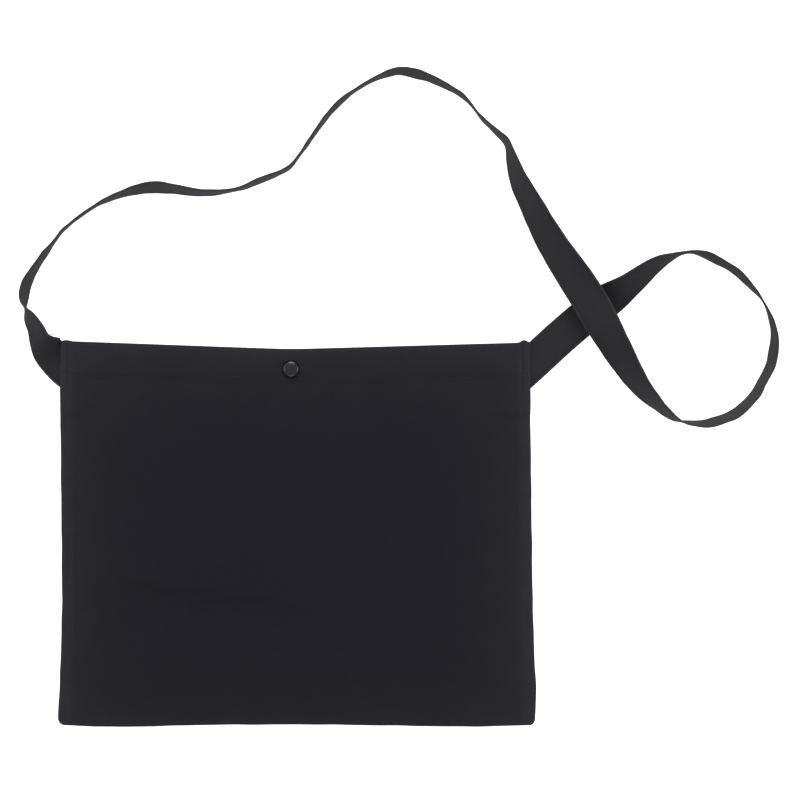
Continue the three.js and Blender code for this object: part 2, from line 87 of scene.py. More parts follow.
TAPE_GROOVE = 0.7  # depth of the strap's grooves as a share of the bag's

# Snap fastener
SNAP_OFFSET = -4  # from the bag's middle
SNAP_DROP = 17.2  # from the mouth's edge
CAP_DIAMETER = 15
CAP_RISE = 2.2
DOME_DIAMETER = 12.8
DOME_POWER = 2.6  # how flat the dome is on top
DOME_ROOT = 0.6  # and how steep at its foot
FLANGE_HEIGHT = 0.5
FLANGE_LAP = 0.4  # how far the flange reaches into the dome's foot
BACK_CAP_DIAMETER = 13
BACK_CAP_THICKNESS = 1.2
SOCKET_DIAMETER = 12
SOCKET_DEPTH = 2.6
SOCKET_ROOF = 0.7
STUD_FLANGE_DIAMETER = 11
STUD_FLANGE_THICKNESS = 0.8
STUD_KNOB_DIAMETER = 6
KNOB_WAIST = 0.86  # the knob's narrow foot as a share of its radius
METAL_EDGE = 0.5  # radius of the metal's rounded edges
POST_DIAMETER = 3
POST_GRIP = 0.9  # how far a post reaches into the piece that it is riveted to
SEAT_RADIUS = 9  # the cloth is flat this far round the snap
SEAT_RUN = 34  # and blends into the bag's own form over this distance

# Sewing
STITCH_PITCH = 3.1
STITCH_LENGTH = 2.5
THREAD = 0.5
THREAD_TIP = 0.35  # thickness of a stitch at its ends as a share of its middle's
THREAD_BOW = 0.42  # how far its middle stands out, in threads
THREAD_SINK = 0.3  # how far its ends lie in the cloth, in threads
HEM_STITCH = 27.4  # from the mouth's edge down to the hem's row
HEM_ROW_INSET = 0.004  # from the bag's edge in to the hem row's end, as a share of the width
TACK_STITCH = 6.2  # from a side seam in to the short row that holds the strap
TACK_START = 1.5  # from the mouth's edge down to that row's start
TACK_RUN = 42  # and to its end
TACK_FADE = 2  # how far on either side of that end its groove fades out
EDGE_STITCH = 2.6  # from the strap's edge in to its row
GROOVE_DEPTH = 0.16
GROOVE_WIDTH = 0.9

# Puckers along the seams and the hem's row: their height, their length and how far they reach.
SIDE_PUCKER = dict(high=0.3, length=15, reach=11)
BASE_PUCKER = dict(high=0.26, length=17, reach=11)
HEM_PUCKER = dict(high=0.12, length=13, reach=7)
PUCKER_START = 2  # distance from an edge over which its puckers begin

# Rubbed edges with painted sheen, and painted light along the edges: how far the rubbed, sheeny rims and
# the lighter band reach in, and how much lighter each edge is painted.
CLOTH_WEAR_SHEEN_REACH = 1.6
TAPE_WEAR_SHEEN_REACH = 0.8
PAINTED_LIGHT_REACH = 27
SIDE_PAINTED_LIGHT = 0.55
MOUTH_PAINTED_LIGHT = 0.5
BASE_PAINTED_LIGHT = 0.3
ALLOWANCE_PAINTED_LIGHT = 0.14
PAINTED_LIGHT_TONE = (2.4, 2.35, 2.0)  # red, green and blue of the painted edge light at full strength as shares of the light dye's
RUBBED_SHEEN_TONE = 2.4  # the same of a rubbed edge with its painted sheen
CREST_HIGHLIGHT_TONE = 1.4  # the same of the painted highlight on the crests of the weave
LINT = 2.5  # the same of lint
THREAD_CREST = 1.7  # the thread's lightest tone as a share of its colour
ENAMEL_CREST = 1.35  # the same of the enamel

# Colours, and the distance between threads
PANEL_DARK = (0.0148, 0.0142, 0.0188)
PANEL_LIGHT = (0.0179, 0.0173, 0.0226)
PANEL_PITCH = 0.62
TAPE_DARK = (0.028, 0.027, 0.0302)
TAPE_LIGHT = (0.0342, 0.0331, 0.0366)
TAPE_PITCH = 0.7
THREAD_COLOUR = (0.012, 0.0115, 0.014)
CAP_COLOUR = (0.012, 0.0126, 0.0155)
# The flange's colour is darker than the cap's: painted shade of the dark ring round the dome's foot.
FLANGE_SHADE_COLOUR = (0.006, 0.0064, 0.0085)
INNER_COLOUR = (0.02, 0.021, 0.023)

# Grids
FRONT_STEP = 2.3
BACK_STEP = 3.4
STRAP_STEP = 1.5
ROUND_SEGMENTS = 72
DOME_RINGS = 22
RIM_LINES = 6  # lines round a cloth's rim
TAPE_RIM_LINES = 5
ROW_LINES = (-0.9, -0.45, 0, 0.45, 0.9)  # lines beside a groove or the end of a turned-in edge
TAPE_ROW_LINES = (-0.8, -0.4, 0, 0.4, 0.8)
TAPE_MIDDLE_LINES = 6  # on either side of the strap's middle
LINE_GAP = 0.3  # least distance between a close line and an even one
HOLE_CELLS = 2  # cells from the post's middle to the edge of its hole
EVENING = 2  # reach of the running mean that evens the strap's line, in steps
HEM_ROW_POINTS = 500
TACK_ROW_POINTS = 80
STITCH_RINGS = 7
STITCH_SIDES = 6

# View: straight down on the bag, in a frame whose width at the surface is VIEW_WIDTH
VIEW_ACROSS = 88.0
VIEW_UP = 112.9
VIEW_HEIGHT = 1450
VIEW_WIDTH = 679.2
SENSOR = 36

# Light: low soft boxes on four sides, the upper one strongest, over a lit table in an even pale surround.
BOX_SIZE = 1300
SOFT_BOXES = (
    dict(name="light_up", place=(60, 1950, 900), power=30),
    dict(name="light_left", place=(-1750, 250, 800), power=9.5),
    dict(name="light_right", place=(1950, 150, 800), power=14),
    dict(name="light_down", place=(100, -1700, 900), power=7.5),
)
SURROUND_COLOUR = (0.91, 0.945, 1, 1)
SURROUND_STRENGTH = 0.39
TABLE_HALF = 4000
TABLE_DROP = 0.05  # how far the table lies below what rests on it
TABLE_GLOW = 1.05

# Side edges, from the base up: how far each stands outside the plain rectangle, as a share of the width.
FLARE_UP = (0.0, 0.02, 0.1, 0.2, 0.34, 0.58, 0.85, 1.0)
FLARE_LEFT = (0.0015, 0.0041, 0.0013, -0.002, -0.004, -0.0024, -0.0007, -0.002)
FLARE_RIGHT = (0.005, 0.0067, 0.0083, 0.0043, 0.0012, -0.0014, -0.0039, -0.004)

# Base edge, from left to right: how far it hangs below the plain rectangle, as a share of the height.
WAVE_ACROSS = (0.0, 0.13, 0.3, 0.55, 0.87, 1.0)
WAVE_DROP = (-0.0015, 0.0033, -0.0015, -0.0026, 0.0025, -0.0015)

# Folds and dents of the front: place as shares of the width and the height, turn of the long way in
# degrees, length and half width as shares of the width, and height as a share of the loft.
FOLDS = (
    dict(across=0.38, up=0.33, turn=12, long=0.26, wide=0.045, high=-0.16),
    dict(across=0.43, up=0.22, turn=8, long=0.22, wide=0.04, high=0.09),
    dict(across=0.2, up=0.84, turn=78, long=0.12, wide=0.03, high=-0.12),
    dict(across=0.31, up=0.86, turn=96, long=0.12, wide=0.03, high=0.1),
    dict(across=0.67, up=0.83, turn=105, long=0.14, wide=0.035, high=-0.13),
    dict(across=0.82, up=0.62, turn=62, long=0.2, wide=0.05, high=0.09),
    dict(across=0.12, up=0.48, turn=84, long=0.2, wide=0.04, high=0.08),
    dict(across=0.74, up=0.16, turn=-14, long=0.18, wide=0.04, high=-0.1),
)

# Fine folds of the front's hem, which stay out of the solids: the same columns.
HEM_FOLDS = (
    dict(across=0.166, up=0.95, turn=88, long=0.07, wide=0.012, high=-0.07),
    dict(across=0.188, up=0.955, turn=94, long=0.06, wide=0.01, high=0.06),
    dict(across=0.31, up=0.95, turn=100, long=0.07, wide=0.014, high=-0.06),
    dict(across=0.545, up=0.95, turn=86, long=0.08, wide=0.03, high=0.08),
    dict(across=0.685, up=0.95, turn=92, long=0.06, wide=0.014, high=0.06),
    dict(across=0.724, up=0.94, turn=90, long=0.09, wide=0.009, high=-0.07),
)

# The long crease low on the left: the ends of its sharp upper line, its depth and how far below the line it
# is deepest. It comes in and fades out between these shares of the line.
CREASE_LINE = ((-162, -36), (29, -63))
CREASE_DEPTH = 2.7
CREASE_RUN = 22
CREASE_START = (-0.05, 0.25)
CREASE_END = (0.7, 1.1)

# The strap's route along its middle. Across: 0 is the left seam and 1 the right one, and past them a share
# of the bend's or the ring's reach. Up: a share of the rise. Lean: 0 or 180 lies flat, and 90 stands on one
# edge.
STRAP_ROUTE = (
    (1.1235, 0.093, 0),
    (1.24, 0.175, 3),
    (1.297, 0.209, CROSSING_LEAN),
    (1.376, 0.251, 36),
    (1.447, 0.2965, 52),
    (1.508, 0.336, 62),
    (1.57, 0.362, 78),
    (1.651, 0.3845, 92.5),
    (1.712, 0.377, 86.5),
    (1.7735, 0.351, 88),
    (1.84, 0.32, 89.5),
    (1.897, 0.273, 92.5),
    (1.952, 0.22, 101),
    (1.984, 0.165, 97),
    (2.002, 0.101, 92),
    (1.995, 0.033, 86),
    (1.984, -0.006, 87),
    (1.943, -0.069, 86),
    (1.9225, -0.102, 84.5),
    (1.84, -0.167, 81),
    (1.776, -0.188, 79),
    (1.718, -0.2015, 80.5),
    (1.65, -0.198, 83.5),
    (1.6025, -0.1905, 91.5),
    (1.527, -0.141, 103),
    (1.446, -0.069, 118.5),
    (1.341, 0.066, 142),
    (1.237, 0.221, 166),
    (1.108, 0.386, 143.5),
    (1.049, 0.469, 133.5),
    (0.999, 0.549, 123.5),
    (0.973, 0.6295, 114.5),
    (0.9565, 0.7105, 100),
    (0.9485, 0.7585, 93),
    (0.9295, 0.787, 89.5),
    (0.8905, 0.847, 85),
    (0.8725, 0.8865, 85),
    (0.849, 0.922, 86.5),
    (0.785, 0.9755, 91.5),
    (0.747, 0.9935, 93.5),
    (0.714, 0.999, 90.5),
    (0.6465, 0.953, 84.5),
    (0.582, 0.8715, 89),
    (0.508, 0.709, 86),
    (0.487, 0.6685, 86.5),
    (0.416, 0.62, 90.5),
    (0.385, 0.599, 86),
    (0.309, 0.585, 93),
    (0.206, 0.604, 101),
    (0.14, 0.583, 91.5),
    (0.0785, 0.54, 83.5),
    (0.0115, 0.46, 81.5),
    (-0.09, 0.423, 81.5),
    (-0.37, 0.384, 85.5),
    (-0.862, 0.302, 90.5),
    (-1.02, 0.261, 94),
    (-1.063, 0.205, 86.5),
    (-0.945, 0.168, 65),
    (-0.71, 0.121, 52),
    (-0.572, 0.0765, 43),
    (-0.28, 0.036, 24),
)


def ease(value, start, end):
    """Smooth step: t is the share of the way from start to end, kept within 0 and 1. Gives t²(3 − 2t)."""
    t = np.clip((value - start) / (end - start), 0, 1)
    return t * t * (3 - 2 * t)


def along_table(places, values, at):
    """Cubic arcs through a table's points. A point's slope is that of the line between its neighbours."""
    places = np.asarray(places, float)
    values = np.asarray(values, float)
    last = len(places) - 1
    i = np.clip(np.searchsorted(places, at) - 1, 0, last - 1)
    before = np.maximum(i - 1, 0)
    after = np.minimum(i + 2, last)
    span = places[i + 1] - places[i]
    t = (at - places[i]) / span
    slope_a = (values[i + 1] - values[before]) / (places[i + 1] - places[before])
    slope_b = (values[after] - values[i]) / (places[after] - places[i])
    bend = slope_a * t * (1 - t) ** 2 - slope_b * t * t * (1 - t)
    return values[i] + (values[i + 1] - values[i]) * t * t * (3 - 2 * t) + bend * span


def uneven_wave(along, length, phase):
    """Three sines whose lengths stand in no simple ratio, summed and scaled to about −1 to 1."""
    turn = 2 * math.pi * along / length
    first = np.sin(turn + phase)
    second = 0.6 * np.sin(0.618 * turn + 2.1 * phase)
    third = 0.5 * np.sin(1.73 * turn + 3.7 * phase)
    return (first + second + third) / 2.1


# Meshes


def write_mesh(name, points, faces, uv=None, shares=None):
    """A mesh object from an n × 3 array of points in millimetres and a list of arrays of faces, one array
    for each number of corners. uv holds the cloth's map for each corner, in the same arrays, and shares a
    value from 0 to 1 for each point under each attribute's name. The mesh is turned right side out by the
    sign of its volume: the sum over the faces of the first corner dotted with the cross product of each
    next pair."""
    volume = 0.0
    for corners in faces:
        first = points[corners[:, 0]]
        for k in range(1, corners.shape[1] - 1):
            pair = np.cross(points[corners[:, k]], points[corners[:, k + 1]])
            volume += np.sum(first * pair)
    if volume < 0:
        faces = [corners[:, ::-1] for corners in faces]
        uv = None if uv is None else [corners[:, ::-1] for corners in uv]
    loops = np.concatenate([corners.ravel() for corners in faces]).astype(np.int32)
    sizes = np.concatenate([np.full(len(corners), corners.shape[1]) for corners in faces])
    starts = np.concatenate([[0], np.cumsum(sizes)[:-1]]).astype(np.int32)
    mesh = bpy.data.meshes.new(name)
    mesh.vertices.add(len(points))
    mesh.vertices.foreach_set("co", (points * MM).astype(np.float32).ravel())
    mesh.loops.add(len(loops))
    mesh.loops.foreach_set("vertex_index", loops)
    mesh.polygons.add(len(starts))
    mesh.polygons.foreach_set("loop_start", starts)
    mesh.polygons.foreach_set("use_smooth", np.ones(len(starts), bool))
    if uv is not None:
        layer = mesh.uv_layers.new(name="cloth")
        flat = np.concatenate([corners.reshape(-1, 2) for corners in uv])
        layer.data.foreach_set("uv", flat.astype(np.float32).ravel())
    for kind, share in (shares or {}).items():
        attribute = mesh.attributes.new(kind, "FLOAT", "POINT")
        attribute.data.foreach_set("value", share.astype(np.float32))
    mesh.update(calc_edges=True)
    piece = bpy.data.objects.new(name, mesh)
    bpy.context.scene.collection.objects.link(piece)
    return piece


def grid_quads(index):
    """The quads of a grid of point numbers: each cell's four corners, anticlockwise."""
    a = index[:-1, :-1]
    b = index[:-1, 1:]
    c = index[1:, 1:]
    d = index[1:, :-1]
    return np.stack([a, b, c, d], axis=-1).reshape(-1, 4)


# Bag


def mouth_edge(across):
    """Height of the mouth's edge on the plan: a shallow V whose bottom is rounded, as the length of the
    vector (distance from the bottom, rounding), a slow fall to the right, and over each seam allowance a
    low bump, its height times e to the minus (distance / reach)²."""
    low = 0.5 + SNAP_OFFSET / BAG_WIDTH
    away = np.where(across < low, (low - across) / low, (across - low) / (1 - low))
    rounded = np.hypot(away, DIP_ROUND) / math.hypot(1, DIP_ROUND)
    inside = np.minimum(across, 1 - across) * BAG_WIDTH
    high = np.where(across < 0.5, BUMP_LEFT, BUMP_RIGHT)
    bump = high * np.exp(-(((inside - BUMP_INSET) / BUMP_REACH) ** 2))
    return BAG_HEIGHT / 2 - MOUTH_DIP * (1 - rounded) - MOUTH_FALL * across + bump


def side_edge(up, flare, phase):
    """Distance of a side edge from the middle: the flare's table with a small wobble."""
    wobble = SIDE_WOBBLE * uneven_wave(up * BAG_HEIGHT, SIDE_WOBBLE_LENGTH, phase)
    return BAG_WIDTH * (0.5 + along_table(FLARE_UP, flare, up)) + wobble


def rounded_corner(to_side, to_edge):
    """How far a place moves off its two edges so that the corner is round: inside the corner's square the
    shares (u, v) of its side become (u√(1 − v²/2), v√(1 − u²/2))."""
    u = np.clip(1 - to_side / CORNER_ROUND, 0, 1)
    v = np.clip(1 - to_edge / CORNER_ROUND, 0, 1)
    moved_side = CORNER_ROUND * (u - u * np.sqrt(1 - v * v / 2))
    moved_edge = CORNER_ROUND * (v - v * np.sqrt(1 - u * u / 2))
    return moved_side, moved_edge


def place_on_bag(across, up):
    """A place on the bag from its shares of the width and the height: the point of the plan that lies that
    far between the edges, and its distances to them."""
    left = -side_edge(up, FLARE_LEFT, phase=0.7)
    right = side_edge(up, FLARE_RIGHT, phase=2.9)
    wobble = BASE_WOBBLE * uneven_wave(across * BAG_WIDTH, BASE_WOBBLE_LENGTH, phase=1.3)
    base = -BAG_HEIGHT * (0.5 + along_table(WAVE_ACROSS, WAVE_DROP, across)) + wobble
    mouth = mouth_edge(across)
    x = left + (right - left) * across
    y = base + (mouth - base) * up
    to_side = np.minimum(x - left, right - x)
    place = dict(across=across, up=up, to_side=to_side, to_base=y - base, to_mouth=mouth - y)
    shift_x, shift_y = rounded_corner(to_side, y - base)
    place["x"] = x + np.where(across < 0.5, shift_x, -shift_x)
    place["y"] = y + shift_y
    return place


# Place of the snap, and the lowest height of each of its pieces and of the cloths round it, from below up.
# Each keeps the clearance to the one below.
SNAP_X = SNAP_OFFSET
SNAP_Y = float(mouth_edge(np.array(0.5 + SNAP_OFFSET / BAG_WIDTH))) - SNAP_DROP
BACK_SEAT = BACK_CAP_THICKNESS + GAP
STUD_BASE = BACK_SEAT + 2 * CLOTH + GAP
SOCKET_BASE = STUD_BASE + STUD_FLANGE_THICKNESS + GAP
FRONT_SEAT = SOCKET_BASE + SOCKET_DEPTH + GAP
CAP_BASE = FRONT_SEAT + 2 * CLOTH + GAP

# Height of the back panel's rim with the clearance above it
SEAM_HEIGHT = 2 * CLOTH + GAP


def exit_angle(side):
    """Angle at which the strap leaves the right seam (side 1) or the left one (side −1)."""
    return math.radians(RIGHT_EXIT if side > 0 else LEFT_EXIT)


def seam_span(side):
    """Length of the seam that the strap's slanted end takes up."""
    return STRAP_WIDTH / math.cos(exit_angle(side))


def turned_in(distance, depth, inner, outer):
    """1 over the cloth that is turned in at an edge, and 0 further in. The step between starts at the
    distance inner before that cloth's end and stops at the distance outer past it."""
    return 1 - ease(distance, depth - inner, depth + outer)


def strap_lift(place):
    """How far the strap's end lifts the front's seam: its thickness and clearance, fading off beyond it."""
    below = BAG_HEIGHT / 2 - CORNER_INSET - place["y"]
    span = np.where(place["across"] > 0.5, seam_span(1), seam_span(-1))
    reach = span + STRAP_INSET + SEAM_ALLOWANCE
    in_side = 1 - ease(place["to_side"], SEAM_ALLOWANCE, 4 * SEAM_ALLOWANCE)
    in_span = 1 - ease(below, reach, reach + SEAM_ALLOWANCE)
    return (STRAP_THICKNESS + GAP) * in_side * in_span


def rise_from(distance):
    """A rise from a seam: 1 − (1 − distance/run)^power, steep at the seam and level at the end."""
    return 1 - np.power(1 - np.clip(distance / LOFT_RUN, 0, 1), LOFT_POWER)


def fold_height(place, folds):
    """The sum of the folds: each is its height times e to the minus (2 × along² + aside²), with the
    distances along and across the fold as shares of its length and half width."""
    height = np.zeros_like(place["x"])
    for fold in folds:
        turn = math.radians(fold["turn"])
        dx = (place["across"] - fold["across"]) * BAG_WIDTH
        dy = (place["up"] - fold["up"]) * BAG_HEIGHT
        along = (dx * math.cos(turn) + dy * math.sin(turn)) / (fold["long"] * BAG_WIDTH)
        aside = (dy * math.cos(turn) - dx * math.sin(turn)) / (fold["wide"] * BAG_WIDTH)
        height += fold["high"] * np.exp(-2 * along * along - aside * aside)
    return height * LOFT


def crease(place):
    """The long crease: below its line, at a distance d, the cloth lies lower by the depth times d/run times
    e^(1 − d/run), steep at the line and slow to come back. Along the line it fades to both ends."""
    (x0, y0), (x1, y1) = CREASE_LINE
    length = math.hypot(x1 - x0, y1 - y0)
    along = ((place["x"] - x0) * (x1 - x0) + (place["y"] - y0) * (y1 - y0)) / length**2
    below = ((place["x"] - x0) * (y1 - y0) - (place["y"] - y0) * (x1 - x0)) / length
    share = np.clip(below / CREASE_RUN, 0, None)
    shown = ease(along, *CREASE_START) * (1 - ease(along, *CREASE_END))
    return -CREASE_DEPTH * share * np.exp(1 - share) * shown


def snap_seat(place):
    """1 on the flat seat round the snap and 0 where the bag has its own form, and a smooth step between."""
    away = np.hypot(place["x"] - SNAP_X, place["y"] - SNAP_Y)
    return 1 - ease(away, SEAT_RADIUS, SEAT_RADIUS + SEAT_RUN)


def groove(distance):
    """A stitched row's groove: its depth times e to the minus (distance / width)²."""
    return -GROOVE_DEPTH * np.exp(-((distance / GROOVE_WIDTH) ** 2))


def tack_groove(place):
    """The groove of the short row beside each strap end, which fades out below it."""
    shown = 1 - ease(place["to_mouth"], TACK_RUN - TACK_FADE, TACK_RUN + TACK_FADE)
    return groove(place["to_side"] - TACK_STITCH) * shown


def edge_puckers(along, distance, pucker, phase):
    """Small ripples across a seam: an uneven wave along it that starts at the rim, is highest a few
    millimetres in and dies away, as (1 − e^(−distance/start)) e^(−distance/reach)."""
    begun = 1 - np.exp(-distance / PUCKER_START)
    remaining = np.exp(-distance / pucker["reach"])
    return pucker["high"] * uneven_wave(along, pucker["length"], phase) * begun * remaining


def hem_puckers(along, distance, pucker, phase):
    """Ripples along the hem's row, which die away on both sides of it as e to the minus
    (distance / reach)²."""
    remaining = np.exp(-((distance / pucker["reach"]) ** 2))
    return pucker["high"] * uneven_wave(along, pucker["length"], phase) * remaining


def puckers(place):
    """The ripples of both side seams, of the base and of the hem."""
    phase = np.where(place["across"] < 0.5, 0.4, 2.2)
    side = edge_puckers(place["y"], place["to_side"], SIDE_PUCKER, phase)
    base = edge_puckers(place["x"], place["to_base"], BASE_PUCKER, 1.1)
    return side + base + hem_puckers(place["x"], place["to_mouth"] - HEM_STITCH, HEM_PUCKER, 0.3)


def layers_step(place):
    """How the turned-in cloth shows through from above: 0 over it, and the low step down past its end."""
    in_side = turned_in(place["to_side"], SEAM_ALLOWANCE, 3, 1)
    in_base = turned_in(place["to_base"], SEAM_ALLOWANCE, 3, 1)
    in_hem = turned_in(place["to_mouth"], HEM_DEPTH, 1.5, 1.5)
    return LAYER_STEP * (np.maximum(np.maximum(in_side, in_base), in_hem) - 1)


def slack(place):
    """The cloth's slow unevenness: two products, each of an uneven wave aslant and one up the bag."""
    wide_aslant = uneven_wave(place["x"] + 0.3 * place["y"], length=150, phase=0.9)
    wide_upward = uneven_wave(place["y"], length=120, phase=2.3)
    small_aslant = uneven_wave(place["x"] - 0.5 * place["y"], length=62, phase=1.9)
    small_upward = uneven_wave(place["y"], length=74, phase=0.2)
    return WIDE_SLACK * wide_aslant * wide_upward + SMALL_SLACK * small_aslant * small_upward


def front_face(place):
    """Height of the front's outer face. The folds, the slack and the crease stand on the loft and share its
    rise from the edges. The seam, the strap's lift, the puckers, the step of the turned-in cloth and the
    hem's folds are added. All this is blended into the snap's flat seat, and the grooves are cut last."""
    mouth_share = MOUTH_LOFT + (1 - MOUTH_LOFT) * ease(place["to_mouth"], 0, MOUTH_RUN)
    rise = rise_from(place["to_side"]) * rise_from(place["to_base"]) * mouth_share
    form = (LOFT + fold_height(place, FOLDS) + slack(place) + crease(place)) * rise
    sewing = puckers(place) + layers_step(place) + fold_height(place, HEM_FOLDS)
    free = SEAM_HEIGHT + 2 * CLOTH + strap_lift(place) + form + sewing
    seated = free + (FRONT_SEAT + 2 * CLOTH - free) * snap_seat(place)
    return seated + groove(place["to_mouth"] - HEM_STITCH) + tack_groove(place)


def back_face(place):
    """Height of the back's outer, lower face: the snap's seat, and the hem's groove pressed up into it."""
    sewn = -groove(place["to_mouth"] - HEM_STITCH)
    return BACK_SEAT * snap_seat(place) + sewn


def wall(place):
    """Thickness of a panel: two cloths where an edge is turned in and one elsewhere, with a round step."""
    side = turned_in(place["to_side"], SEAM_ALLOWANCE, 0, FOLD_STEP)
    base = turned_in(place["to_base"], SEAM_ALLOWANCE, 0, FOLD_STEP)
    hem = turned_in(place["to_mouth"], HEM_DEPTH, 0, FOLD_STEP)
    return CLOTH * (1 + np.maximum(np.maximum(side, base), hem))


def to_nearest_edge(place):
    return np.minimum(np.minimum(place["to_side"], place["to_base"]), place["to_mouth"])


def rim_drop(place):
    """Drop of a face towards a folded edge: a quarter circle of one cloth's radius."""
    away = np.clip(to_nearest_edge(place) / CLOTH, 0, 1)
    return CLOTH * (1 - np.sqrt(1 - (1 - away) ** 2))


def front_layers(place):
    """Heights of the front panel's upper and lower face, which meet at the rim."""
    face = front_face(place)
    drop = rim_drop(place)
    return face - drop, face - wall(place) + drop


def back_layers(place):
    """Heights of the back panel's upper and lower face."""
    face = back_face(place)
    drop = rim_drop(place)
    return face + wall(place) - drop, face + drop


def grid_lines(length, step, marks):
    """Distances of a panel's grid lines: even steps, quarter circles of lines at both rims, and close lines
    at each marked distance, where a groove or a turned-in edge needs them."""
    rim = CLOTH * (1 - np.cos(np.linspace(0, math.pi / 2, RIM_LINES)))
    close = np.concatenate([mark + np.array(ROW_LINES) for mark in marks])
    even = np.arange(2 * CLOTH, length - 2 * CLOTH, step)
    clear = np.min(np.abs(even[:, None] - close[None, :]), axis=1) > LINE_GAP
    return np.sort(np.concatenate([rim, even[clear], close, length - rim]))


def nearest_line(lines, at):
    return int(np.argmin(np.abs(lines - at)))


def panel_grid(step):
    """A panel's grid as shares of the width and the height, with close lines at the ends of the turned-in
    edges and at the stitched rows."""
    fold = SEAM_ALLOWANCE + FOLD_STEP / 2
    sides = [fold, BAG_WIDTH - fold, TACK_STITCH, BAG_WIDTH - TACK_STITCH]
    levels = [fold, BAG_HEIGHT - HEM_DEPTH - FOLD_STEP / 2, BAG_HEIGHT - HEM_STITCH]
    across_lines = grid_lines(BAG_WIDTH, step, sides)
    up_lines = grid_lines(BAG_HEIGHT, step, levels)
    return np.meshgrid(across_lines / BAG_WIDTH, up_lines / BAG_HEIGHT)


def square_of_points(level, middle, reach):
    """The part of a grid that lies up to reach rows and columns from a point of it."""
    return slice(level - reach, level + reach + 1), slice(middle - reach, middle + reach + 1)


def cut_hole(place):
    """Makes the round hole for the snap's post: the points round a square of cells move onto its circle.
    Returns the row and the column of the square's middle, and how far each point of the grid moved."""
    rows = len(place["x"])
    middle = nearest_line(place["x"][rows // 2], SNAP_X)
    level = nearest_line(place["y"][:, middle], SNAP_Y)
    ring = np.zeros(place["x"].shape, bool)
    ring[square_of_points(level, middle, HOLE_CELLS)] = True
    ring[square_of_points(level, middle, HOLE_CELLS - 1)] = False
    angle = np.arctan2(place["y"] - SNAP_Y, place["x"] - SNAP_X)
    radius = POST_DIAMETER / 2 + GAP
    moved_x = np.where(ring, SNAP_X + radius * np.cos(angle) - place["x"], 0)
    moved_y = np.where(ring, SNAP_Y + radius * np.sin(angle) - place["y"], 0)
    place["x"] = place["x"] + moved_x
    place["y"] = place["y"] + moved_y
    return level, middle, moved_x, moved_y


def panel(name, step, layers):
    """A cloth panel: a grid of places with a high and a low face, which meet at the rim and are joined by a
    wall round the post's hole. The cloth's map is the flat bag in millimetres."""
    across, up = panel_grid(step)
    place = place_on_bag(across, up)
    level, middle, moved_x, moved_y = cut_hole(place)
    high, low = layers(place)

    rim = np.zeros(across.shape, bool)
    rim[[0, -1], :] = True
    rim[:, [0, -1]] = True
    shown = np.ones(across.shape, bool)
    shown[square_of_points(level, middle, HOLE_CELLS - 1)] = False
    both = shown & ~rim
    top = np.full(across.shape, -1)
    bottom = np.full(across.shape, -1)
    top[shown] = np.arange(shown.sum())
    bottom[both] = shown.sum() + np.arange(both.sum())
    bottom[rim] = top[rim]
    upper = np.stack([place["x"], place["y"], high], axis=-1)
    lower = np.stack([place["x"], place["y"], low], axis=-1)
    points = np.concatenate([upper[shown], lower[both]])

    numbers = np.arange(across.size).reshape(across.shape)
    kept = np.ones((len(across) - 1, len(across[0]) - 1), bool)
    kept[level - HOLE_CELLS : level + HOLE_CELLS, middle - HOLE_CELLS : middle + HOLE_CELLS] = False
    corners = grid_quads(numbers)[kept.ravel()]
    around = hole_ring(numbers, level, middle)
    onward = np.roll(around, -1)
    tops = top.ravel()
    bottoms = bottom.ravel()
    walls = np.stack([tops[around], tops[onward], bottoms[onward], bottoms[around]], axis=-1)
    faces = np.concatenate([tops[corners], bottoms[corners][:, ::-1], walls])
    flat = np.stack([across * BAG_WIDTH + moved_x, up * BAG_HEIGHT + moved_y], axis=-1).reshape(-1, 2)
    wall_corners = np.stack([around, onward, onward, around], axis=-1)
    uv = flat[np.concatenate([corners, corners[:, ::-1], wall_corners])]
    # Each point's share of rubbed rim, lighter with a painted sheen, and of painted light that makes the
    # cloth lighter towards its edges.
    edge = np.exp(-to_nearest_edge(place) / CLOTH_WEAR_SHEEN_REACH)
    light_share = painted_light_share(place)
    wear_and_sheen = np.concatenate([edge[shown], edge[both]])
    painted_light = np.concatenate([light_share[shown], light_share[both]])
    return write_mesh(name, points, [faces], [uv], dict(wear_and_sheen=wear_and_sheen, painted_light=painted_light))


def painted_light_share(place):
    """Painted light: how much lighter the cloth is painted towards its edges, as a share. Each edge adds
    its strength times e^(−distance/reach), and less so where another edge has already added. The turned-in
    sides add a little more."""
    band = ALLOWANCE_PAINTED_LIGHT * turned_in(place["to_side"], SEAM_ALLOWANCE, 0, 1.5)
    side = SIDE_PAINTED_LIGHT * np.exp(-place["to_side"] / PAINTED_LIGHT_REACH) + band
    mouth = MOUTH_PAINTED_LIGHT * np.exp(-place["to_mouth"] / PAINTED_LIGHT_REACH)
    base = BASE_PAINTED_LIGHT * np.exp(-place["to_base"] / PAINTED_LIGHT_REACH)
    return 1 - (1 - side) * (1 - mouth) * (1 - base)


def hole_ring(numbers, level, middle):
    """The point numbers round the square of cells that the hole takes, in order."""
    low, high = level - HOLE_CELLS, level + HOLE_CELLS
    left, right = middle - HOLE_CELLS, middle + HOLE_CELLS
    return np.concatenate(
        [
            numbers[low, left:right],
            numbers[low:high, right],
            numbers[high, right:left:-1],
            numbers[high:low:-1, left],
        ]
    )


# Strap


def seam_exit(side):
    """Where the strap's middle meets a side seam, and its direction out of the bag there."""
    y = BAG_HEIGHT / 2 - CORNER_INSET - seam_span(side) / 2
    flare = FLARE_RIGHT if side > 0 else FLARE_LEFT
    outside = along_table(FLARE_UP, flare, np.array(0.5 + y / BAG_HEIGHT))
    x = side * BAG_WIDTH * (0.5 + float(outside))
    out = (side * math.cos(exit_angle(side)), math.sin(exit_angle(side)))
    return np.array([x, y]), np.array(out)


